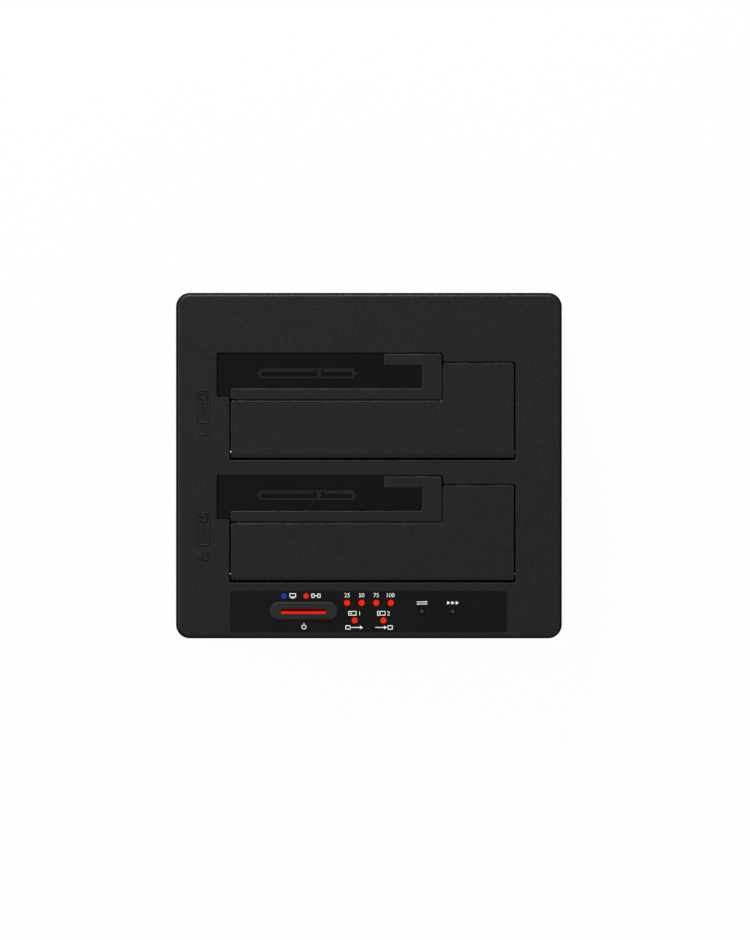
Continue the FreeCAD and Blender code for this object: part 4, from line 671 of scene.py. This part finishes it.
# ---- printed marks ------------------------------------------------------------------------
class Print:
    """Flat printed marks on the control panel, gathered in one mesh. Places are in metres."""

    def __init__(self):
        self.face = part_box("control_panel")[1].z
        self.thickness = settings().legends.thickness
        self.stroke = settings().legends.stroke
        self.shape = bmesh.new()

    def area(self, points):
        """A filled outline."""
        low = [self.shape.verts.new((x, y, self.face)) for x, y in points]
        high = [self.shape.verts.new((x, y, self.face + self.thickness)) for x, y in points]
        self.shape.faces.new(high)
        self.shape.faces.new(low[::-1])
        count = len(points)
        for i in range(count):
            j = (i + 1) % count
            self.shape.faces.new((low[i], low[j], high[j], high[i]))

    def line(self, points, closed=False):
        """A line of even width with mitred corners, as one quad per run."""
        sharpest = 0.3
        half = self.stroke / 2
        count = len(points)
        sides = []
        for i, point in enumerate(points):
            here = Vector(point)
            before = Vector(points[i - 1]) if closed or i else None
            after = Vector(points[(i + 1) % count]) if closed or i < count - 1 else None
            into = (here - before).normalized() if before else None
            out = (after - here).normalized() if after else None
            along = ((into or out) + (out or into)).normalized()
            normal = Vector((-along.y, along.x))
            straight = Vector((-(into or out).y, (into or out).x))
            reach = half / max(normal.dot(straight), sharpest)
            sides.append((here + normal * reach, here - normal * reach))
        for i in range(count if closed else count - 1):
            j = (i + 1) % count
            self.area([sides[i][1], sides[j][1], sides[j][0], sides[i][0]])

    def box(self, x, y, width, height):
        a, b = width / 2, height / 2
        self.line([(x - a, y - b), (x + a, y - b), (x + a, y + b), (x - a, y + b)], closed=True)

    def arrow(self, x0, x1, y, head):
        """A level arrow from x0 to x1 with a solid head."""
        side = math.copysign(1, x1 - x0)
        neck = x1 - side * head
        half = head * 0.62
        self.line([(x0, y), (neck, y)])
        points = [(neck, y - half), (x1, y), (neck, y + half)]
        self.area(points if side > 0 else points[::-1])

    def number(self, text, x, y):
        """Plain figures, centred."""
        height_share = 0.7
        letters = bpy.data.curves.new("figures", "FONT")
        letters.body = text
        letters.size = settings().legends.numeral / height_share
        letters.resolution_u = 4
        letters.align_x = "CENTER"
        letters.extrude = self.thickness / 2
        maker = add("figures", letters)
        bpy.context.view_layer.update()
        evaluated = maker.evaluated_get(bpy.context.evaluated_depsgraph_get())
        mesh = bpy.data.meshes.new_from_object(evaluated)
        points = [v.co for v in mesh.vertices]
        base = (min(p.y for p in points) + max(p.y for p in points)) / 2
        side = (min(p.x for p in points) + max(p.x for p in points)) / 2
        move = Vector((x - side, y - base, self.face + self.thickness / 2))
        for vertex in mesh.vertices:
            vertex.co = vertex.co + move
        self.shape.from_mesh(mesh)
        bpy.data.objects.remove(maker)
        bpy.data.meshes.remove(mesh)

    def finish(self, name, ink):
        mesh = bpy.data.meshes.new(name)
        bmesh.ops.recalc_face_normals(self.shape, faces=self.shape.faces)
        self.shape.to_mesh(mesh)
        self.shape.free()
        mesh.materials.append(ink)
        add_piece(name, mesh, "case")


def open_slot(bay):
    """The slot that a shut bay leaves open: its low and high corners, and its notch's corner."""
    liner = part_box(f"bay_liner_{bay}")
    low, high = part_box(f"drive_guide_frame_{bay}")
    left = liner[0].x + LINER_LEDGE
    return (left, low.y + GUIDE_BAR), (high.x - GUIDE_BAR, high.y), (low.x, low.y + NOTCH_LEDGE)


def lens_rows():
    """Red lens centres by row: the copy light, the progress row and the bay row."""
    centres = islands("red_light_pipes")
    copy = max(centres, key=lambda p: p.y)
    bays = sorted(centres, key=lambda p: p.y)[:2]
    row = [p for p in centres if p not in bays and p is not copy]
    return copy, row, sorted(bays, key=lambda p: p.x)


# ---- operators ----------------------------------------------------------------------------
class DUPLICATOR_OT_case(Operator):
    """Finish the case, the tray, the feet and the case screws"""

    bl_idname = "duplicator.case"
    bl_label = "Case"

    def execute(self, context):
        plastics = settings().plastics
        dress(grained_plastic("case_plastic", plastics.case, painted_shade_rounds=True), "top_cover")
        dress(grained_plastic("tray_plastic", plastics.case, roughness=0.42), "base_tray")
        dress(foot_rubber("foot_rubber"), "rubber_feet")
        dress(metal("screw_steel", (0.42, 0.42, 0.44), roughness=0.3),
              "case_screws", "main_board_screws", "panel_board_screws", "bay_liner_screws",
              *both("guide_frame_screws"))
        return {"FINISHED"}


class DUPLICATOR_OT_bays(Operator):
    """Finish the doors, guide frames, hinge pins, liners and drive sockets"""

    bl_idname = "duplicator.bays"
    bl_label = "Bays"

    def execute(self, context):
        plastics = settings().plastics
        dress(grained_plastic("door_plastic", plastics.door), *both("bay_door"))
        dress(grained_plastic("guide_plastic", plastics.door), *both("drive_guide_frame"))
        for bay in BAYS:
            dress(well_plastic(f"liner_plastic_{bay}", plastics.well, open_slot(bay)),
                  f"bay_liner_{bay}")
        nose_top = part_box("sata_socket_1")[1].z
        dress(socket_plastic("socket_plastic", plastics.socket, nose_top), *both("sata_socket"))
        dress(metal("contact_gold", (0.55, 0.38, 0.12), roughness=0.35),
              *both("sata_contacts"), "usb_contacts")
        dress(metal("pin_steel", (0.55, 0.55, 0.56), roughness=0.25, stretch=(0.03, 1.0, 1.0)),
              *both("hinge_pin"))
        return {"FINISHED"}


class DUPLICATOR_OT_panel(Operator):
    """Finish the control panel, its buttons, lenses and switches"""

    bl_idname = "duplicator.panel"
    bl_label = "Control panel"

    def execute(self, context):
        plastics, lights = settings().plastics, settings().lights
        dress(panel_plastic("panel_gloss", plastics.panel), "control_panel")
        dress(cap_plastic("button_plastic", plastics.button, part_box("power_button")),
              "power_button")
        pins = ("mode_button", "start_button")
        dress(tip_plastic("push_button_plastic", [middle(pin) for pin in pins]), *pins)
        dress(lit_bar("light_bar_lens"), "power_light_bar")
        dress(lit_lens("red_lens", islands("red_light_pipes"), lights.red, lights.red_core),
              "red_light_pipes")
        dress(lit_lens("blue_lens", [middle("blue_light_pipe")], lights.blue, lights.blue_core),
              "blue_light_pipe")
        dress(satin_plastic("switch_plastic", (0.02, 0.02, 0.02)),
              "power_switch_body", "button_switches")
        dress(satin_plastic("plunger_plastic", (0.5, 0.5, 0.47)),
              "power_switch_plunger", "mode_switch_plunger", "start_switch_plunger")
        dress(satin_plastic("lamp_package", (0.7, 0.66, 0.5)), "indicator_leds")
        return {"FINISHED"}


class DUPLICATOR_OT_boards(Operator):
    """Finish the boards, their small parts and the ribbon cable"""

    bl_idname = "duplicator.boards"
    bl_label = "Boards"

    def execute(self, context):
        dress(board_finish("board_laminate"), "main_board", "panel_board")
        dress(satin_plastic("chip_resin", (0.02, 0.02, 0.021), roughness=0.5),
              "bridge_chip", "firmware_chip")
        dress(metal("crystal_can", (0.68, 0.67, 0.64), roughness=0.25), "clock_crystal")
        dress(metal("capacitor_can", (0.75, 0.76, 0.78), roughness=0.28, stretch=(1.0, 1.0, 0.05)),
              "filter_capacitors")
        dress(satin_plastic("inductor_ferrite", (0.045, 0.045, 0.05), roughness=0.7),
              "power_inductors")
        dress(ceramic_finish("surface_ceramic"), "surface_parts")
        dress(ribbon_finish("ribbon_jacket"), "ribbon_cable")
        dress(satin_plastic("plug_plastic", (0.62, 0.6, 0.5)), "ribbon_plugs")
        return {"FINISHED"}


class DUPLICATOR_OT_ports(Operator):
    """Finish the power inlet and the data port"""

    bl_idname = "duplicator.ports"
    bl_label = "Rear ports"

    def execute(self, context):
        dress(satin_plastic("jack_plastic", (0.010, 0.010, 0.010), roughness=0.4),
              "dc_jack_housing")
        dress(metal("jack_pin_plate", (0.7, 0.7, 0.7), roughness=0.15), "dc_jack_pin")
        dress(metal("port_shell_plate", (0.62, 0.62, 0.63), roughness=0.22), "usb_port_shell")
        dress(satin_plastic("port_insert_plastic", (0.012, 0.07, 0.42)), "usb_port_insert")
        return {"FINISHED"}


class DUPLICATOR_OT_springs(Operator):
    """Wind the door springs, whose upper legs turn with the doors"""

    bl_idname = "duplicator.springs"
    bl_label = "Door springs"

    def execute(self, context):
        steel = metal("wound_steel", (0.36, 0.36, 0.38), roughness=0.38)
        bays = settings().bays
        wire = bays.wire
        for bay in BAYS:
            node = f"door_spring_{bay}"
            low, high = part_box(node)
            axis = middle(f"hinge_pin_{bay}")
            left, right = low.x + wire / 2, high.x - wire / 2
            top = high.z - wire / 2
            radius = top - axis.z
            coil = wound(axis, radius, left, right, bays.turns)
            coil.append((right, axis.y - radius, low.z))
            leg = [(left, axis.y, top), (left, high.y, top)]
            body = self.bend(f"spring_coil_{bay}", coil, wire, steel, "case")
            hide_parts(node)
            self.bend(f"spring_leg_{bay}", leg, wire, steel, f"door_{bay}")
        return {"FINISHED"}

    def bend(self, name, points, wire, steel, body):
        curve = bead(name, [(points, False)], wire, roundness=2, material=steel)
        return add_piece(name, curve, body)


class DUPLICATOR_OT_marks(Operator):
    """Raise a drive pictogram and a number beside each bay"""

    bl_idname = "duplicator.marks"
    bl_label = "Bay marks"

    def execute(self, context):
        marks = settings().marks
        plastic = NODES["top_cover"].data.materials[0]
        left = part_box("top_cover")[0].x + marks.inset
        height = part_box("bay_door_1")[1].z + marks.proud - marks.stroke / 2
        for bay in BAYS:
            name = f"bay_mark_{bay}"
            rear = open_slot(bay)[1][1] - marks.start
            runs = []
            for points, closed in self.drive(marks) + self.number(bay, marks):
                places = [(left + up, rear - along, height) for along, up in points]
                runs.append((places, closed))
            curve = bead(name, runs, marks.stroke, roundness=3, material=plastic)
            add_piece(name, curve, "case")
        return {"FINISHED"}

    def drive(self, marks):
        """Strokes of a drive: its case, its platter and its label, as (along, up) points."""
        long, high, corner = marks.length, marks.height, 0.7 * MM
        outline = []
        for along, up, start in ((long - corner, high - corner, 90), (long - corner, corner, 0),
                                 (corner, corner, -90), (corner, high - corner, -180)):
            outline += arc(along, up, corner, start, -90, MARK_STEP)
        platter_radius, label_start, label_end = 0.3 * high, 1.15 * high, long - 0.35 * high
        platter = arc(high / 2, high / 2, platter_radius, 0, CIRCLE, MARK_STEP)[:-1]
        label = [(label_start, high / 2), (label_end, high / 2)]
        return [(outline, True), (platter, True), (label, False)]

    def number(self, bay, marks):
        """One stroke for the bay's number, read from the right side of the case."""
        centre, high = marks.number, marks.height
        if bay == "1":
            flag = (centre - 0.9 * MM, high - 1.0 * MM)
            return [([flag, (centre, high), (centre, 0)], False)]
        radius = 0.28 * high
        bowl = arc(centre, high - radius, radius, 165, -205, MARK_STEP)
        return [(bowl + [(centre - radius, 0), (centre + radius, 0)], False)]


class DUPLICATOR_OT_legends(Operator):
    """Print the numbers and pictograms on the control panel"""

    bl_idname = "duplicator.legends"
    bl_label = "Legends"

    def execute(self, context):
        ink = ink_finish("legend_ink")
        copy, row, bays = lens_rows()
        self.print_progress(ink, row)
        self.print_bays(ink, bays)
        self.print_modes(ink, copy)
        self.print_buttons(ink)
        return {"FINISHED"}

    def print_progress(self, ink, row):
        """Plain numbers over the four progress lights."""
        rise = 2.65 * MM
        marks = Print()
        share = 100 // len(row)
        for i, lens in enumerate(row):
            marks.number(str(share * (i + 1)), lens.x, lens.y + rise)
        marks.finish("progress_numbers", ink)

    def print_bays(self, ink, bays):
        """A drive and its number over each bay light, and which way the data goes under it."""
        rise = 2.45 * MM
        marks = Print()
        for number, lens, outward in zip(BAYS, bays, (True, False)):
            self.drive(marks, lens.x - 0.75 * MM, lens.y + rise)
            marks.number(number, lens.x + 1.75 * MM, lens.y + rise)
            self.transfer(marks, lens.x, lens.y - rise, outward)
        marks.finish("bay_legends", ink)

    def drive(self, marks, x, y):
        """A drive as a box with a dot in it."""
        marks.box(x, y, 2.6 * MM, 1.3 * MM)
        marks.area(arc(x - 0.45 * MM, y, 0.28 * MM, 0, CIRCLE, DOT_STEP)[:-1])

    def transfer(self, marks, x, y, outward):
        """A box with an arrow that leaves it or enters it."""
        away, near, far, head = 2.3 * MM, 1.2 * MM, 2.9 * MM, 1.0 * MM
        marks.box(x - away if outward else x + away, y, 1.5 * MM, 1.2 * MM)
        if outward:
            marks.arrow(x - near, x + far, y, head)
        else:
            marks.arrow(x - far, x + near, y, head)

    def print_modes(self, ink, copy):
        """A screen by the blue light, two joined sheets by the copy light, and power."""
        marks = Print()
        blue = middle("blue_light_pipe")
        x, y = blue.x + 3.1 * MM, blue.y + 0.1 * MM
        marks.box(x, y + 0.15 * MM, 2.0 * MM, 1.15 * MM)
        marks.line([(x - 0.65 * MM, y - 0.8 * MM), (x + 0.65 * MM, y - 0.8 * MM)])
        x = copy.x + 3.4 * MM
        for sheet in (x - 1.0 * MM, x + 1.1 * MM):
            marks.box(sheet, y, 0.85 * MM, 1.2 * MM)
        marks.arrow(x - 0.3 * MM, x + 0.5 * MM, y, 0.5 * MM)
        button = middle("power_button")
        x, y = button.x + 0.1 * MM, button.y - 5.55 * MM
        marks.line(arc(x, y, 0.72 * MM, 125, 290, PRINT_STEP))
        marks.line([(x, y + 1.2 * MM), (x, y + 0.3 * MM)])
        marks.finish("mode_legends", ink)

    def print_buttons(self, ink):
        """Two-way arrows over the mode button and play marks over the start button."""
        marks = Print()
        mode, start = middle("mode_button"), middle("start_button")
        y = mode.y + 3.05 * MM
        reach, apart = 1.9 * MM, 0.38 * MM
        marks.arrow(mode.x - reach, mode.x + reach, y + apart, 0.6 * MM)
        marks.arrow(mode.x + reach, mode.x - reach, y - apart, 0.6 * MM)
        wide, high = 0.55 * MM, 0.65 * MM
        for i in (-1, 0, 1):
            x = start.x + i * 1.5 * MM
            marks.area([(x - wide, y - high), (x + wide, y), (x - wide, y + high)])
        marks.finish("button_legends", ink)


class DUPLICATOR_OT_stage(Operator):
    """Set up the floor, the lamps, the room and the camera"""

    bl_idname = "duplicator.stage"
    bl_label = "Studio"

    def execute(self, context):
        stage = settings().stage
        self.make_floor(stage)
        self.make_room(stage)
        self.make_lamp("key_lamp", turn=104, rise=38, size=0.35, power=stage.key)
        self.make_lamp("side_lamp", turn=178, rise=40, size=0.9, power=stage.side)
        self.make_lamp("fill_lamp", turn=310, rise=15, size=1.2, power=stage.fill)
        self.make_top_light(stage)
        self.make_camera()
        context.scene.view_settings.view_transform = "Standard"
        return {"FINISHED"}

    def make_top_light(self, stage):
        """Light straight down from far off, which no surface mirrors."""
        sun = bpy.data.lights.new("top_light", "SUN")
        sun.energy = stage.top
        sun.angle = math.radians(0.8)
        add("top_light", sun).visible_glossy = False

    def make_lamp(self, name, turn, rise, size, power):
        """A round lamp, turn degrees round from the right side and rise degrees up."""
        distance = 1.15
        lamp = bpy.data.lights.new(name, "AREA")
        lamp.shape = "DISK"
        lamp.size = size
        lamp.energy = power
        made = add(name, lamp)
        turn, rise = math.radians(turn), math.radians(rise)
        way = Vector((math.cos(turn) * math.cos(rise), math.sin(turn) * math.cos(rise),
                      math.sin(rise)))
        made.location = Vector((0, 0, CAD_BOX[1].z)) + way * distance
        made.rotation_euler = way.to_track_quat("Z", "Y").to_euler()

    def seen(self, finish):
        """1 for rays that see the background itself, in a view, a reflection or through glass."""
        path = finish.node("ShaderNodeLightPath").outputs
        seen = Value(finish, path["Is Camera Ray"]).most(Value(finish, path["Is Glossy Ray"]))
        return seen.most(Value(finish, path["Is Transmission Ray"]))

    def make_floor(self, stage):
        """A wide floor, white to the eye but for the soft shadow that the object leaves."""
        finish = Finish("studio_floor")
        speck = finish.noise(4 * MM)
        finish.shade(Base_Color=finish.blend(speck, scaled(stage.floor, 0.99), stage.floor),
                     Roughness=0.9, Specular_IOR_Level=0.0)
        white = {"Color": (1.0, 1.0, 1.0, 1.0), "Strength": 1.0}
        glow = finish.node("ShaderNodeEmission", inputs=white)
        mix = finish.node("ShaderNodeMixShader", inputs={
            0: self.seen(finish) * stage.white,
            1: finish.shader.outputs[0],
            2: glow.outputs[0]})
        output = finish.tree.nodes["Material Output"]
        finish.tree.links.new(mix.outputs[0], output.inputs["Surface"])
        shape = bmesh.new()
        bmesh.ops.create_grid(shape, x_segments=8, y_segments=8, size=12.0)
        mesh = bpy.data.meshes.new("floor")
        shape.to_mesh(mesh)
        shape.free()
        mesh.materials.append(finish.material)
        made = add("floor", mesh)
        made.visible_glossy = False

    def make_room(self, stage):
        """A plain dim room whose backdrop is white only where it is looked at."""
        world = bpy.data.worlds.new("room")
        world.use_nodes = True
        bpy.context.scene.world = world
        finish = Finish("room", world.node_tree)
        path = finish.node("ShaderNodeLightPath").outputs
        white = Value(finish, path["Is Camera Ray"])
        mirrored = Value(finish, path["Is Glossy Ray"])
        dim = stage.room * (1 - 0.6 * mirrored)
        background = world.node_tree.nodes["Background"]
        finish.feed(background.inputs["Color"], (1.0, 1.0, 1.0, 1.0))
        finish.feed(background.inputs["Strength"], white.most(dim))

    def make_camera(self):
        """A very long lens straight over the object, so that the view has no perspective."""
        view_height = 326.4 * MM
        right, down = 2.11 * MM, 1.52 * MM
        camera = bpy.data.cameras.new("camera")
        camera.sensor_width = 36.0
        camera.lens = 1000.0
        distance = view_height / (camera.sensor_width / camera.lens)
        camera.clip_end = distance * 4
        made = add("camera", camera)
        centre = (CAD_BOX[0] + CAD_BOX[1]) / 2
        made.location = (centre.x + right, centre.y - down, CAD_BOX[1].z + distance)
        bpy.context.scene.camera = made


# ---- sidebar ------------------------------------------------------------------------------
OPERATORS = (DUPLICATOR_OT_case, DUPLICATOR_OT_bays, DUPLICATOR_OT_panel, DUPLICATOR_OT_boards,
             DUPLICATOR_OT_ports, DUPLICATOR_OT_springs, DUPLICATOR_OT_marks,
             DUPLICATOR_OT_legends, DUPLICATOR_OT_stage)


class DUPLICATOR_PT_sidebar(Panel):
    """Lists the settings and the steps"""

    bl_idname = "DUPLICATOR_PT_sidebar"
    bl_label = "Drive duplicator"
    bl_space_type = "VIEW_3D"
    bl_region_type = "UI"
    bl_category = "Duplicator"

    def draw(self, context):
        for group in ("plastics", "lights", "bays", "marks", "legends", "stage"):
            held = getattr(context.scene.duplicator, group)
            box = self.layout.box()
            box.label(text=group.capitalize())
            for name in held.__annotations__:
                box.prop(held, name)
        for operator in OPERATORS:
            self.layout.operator(operator.bl_idname)


CLASSES = (DuplicatorPlastics, DuplicatorLights, DuplicatorBays, DuplicatorMarks,
           DuplicatorLegends, DuplicatorStage, DuplicatorSettings, *OPERATORS,
           DUPLICATOR_PT_sidebar)


def register():
    for kind in CLASSES:
        bpy.utils.register_class(kind)
    bpy.types.Scene.duplicator = PointerProperty(type=DuplicatorSettings)


def unregister():
    del bpy.types.Scene.duplicator
    for kind in reversed(CLASSES):
        bpy.utils.unregister_class(kind)


def main():
    """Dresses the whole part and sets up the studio."""
    register()
    bpy.ops.duplicator.case()
    bpy.ops.duplicator.bays()
    bpy.ops.duplicator.panel()
    bpy.ops.duplicator.boards()
    bpy.ops.duplicator.ports()
    bpy.ops.duplicator.springs()
    bpy.ops.duplicator.marks()
    bpy.ops.duplicator.legends()
    bpy.ops.duplicator.stage()


if __name__ == "__main__":
    main()
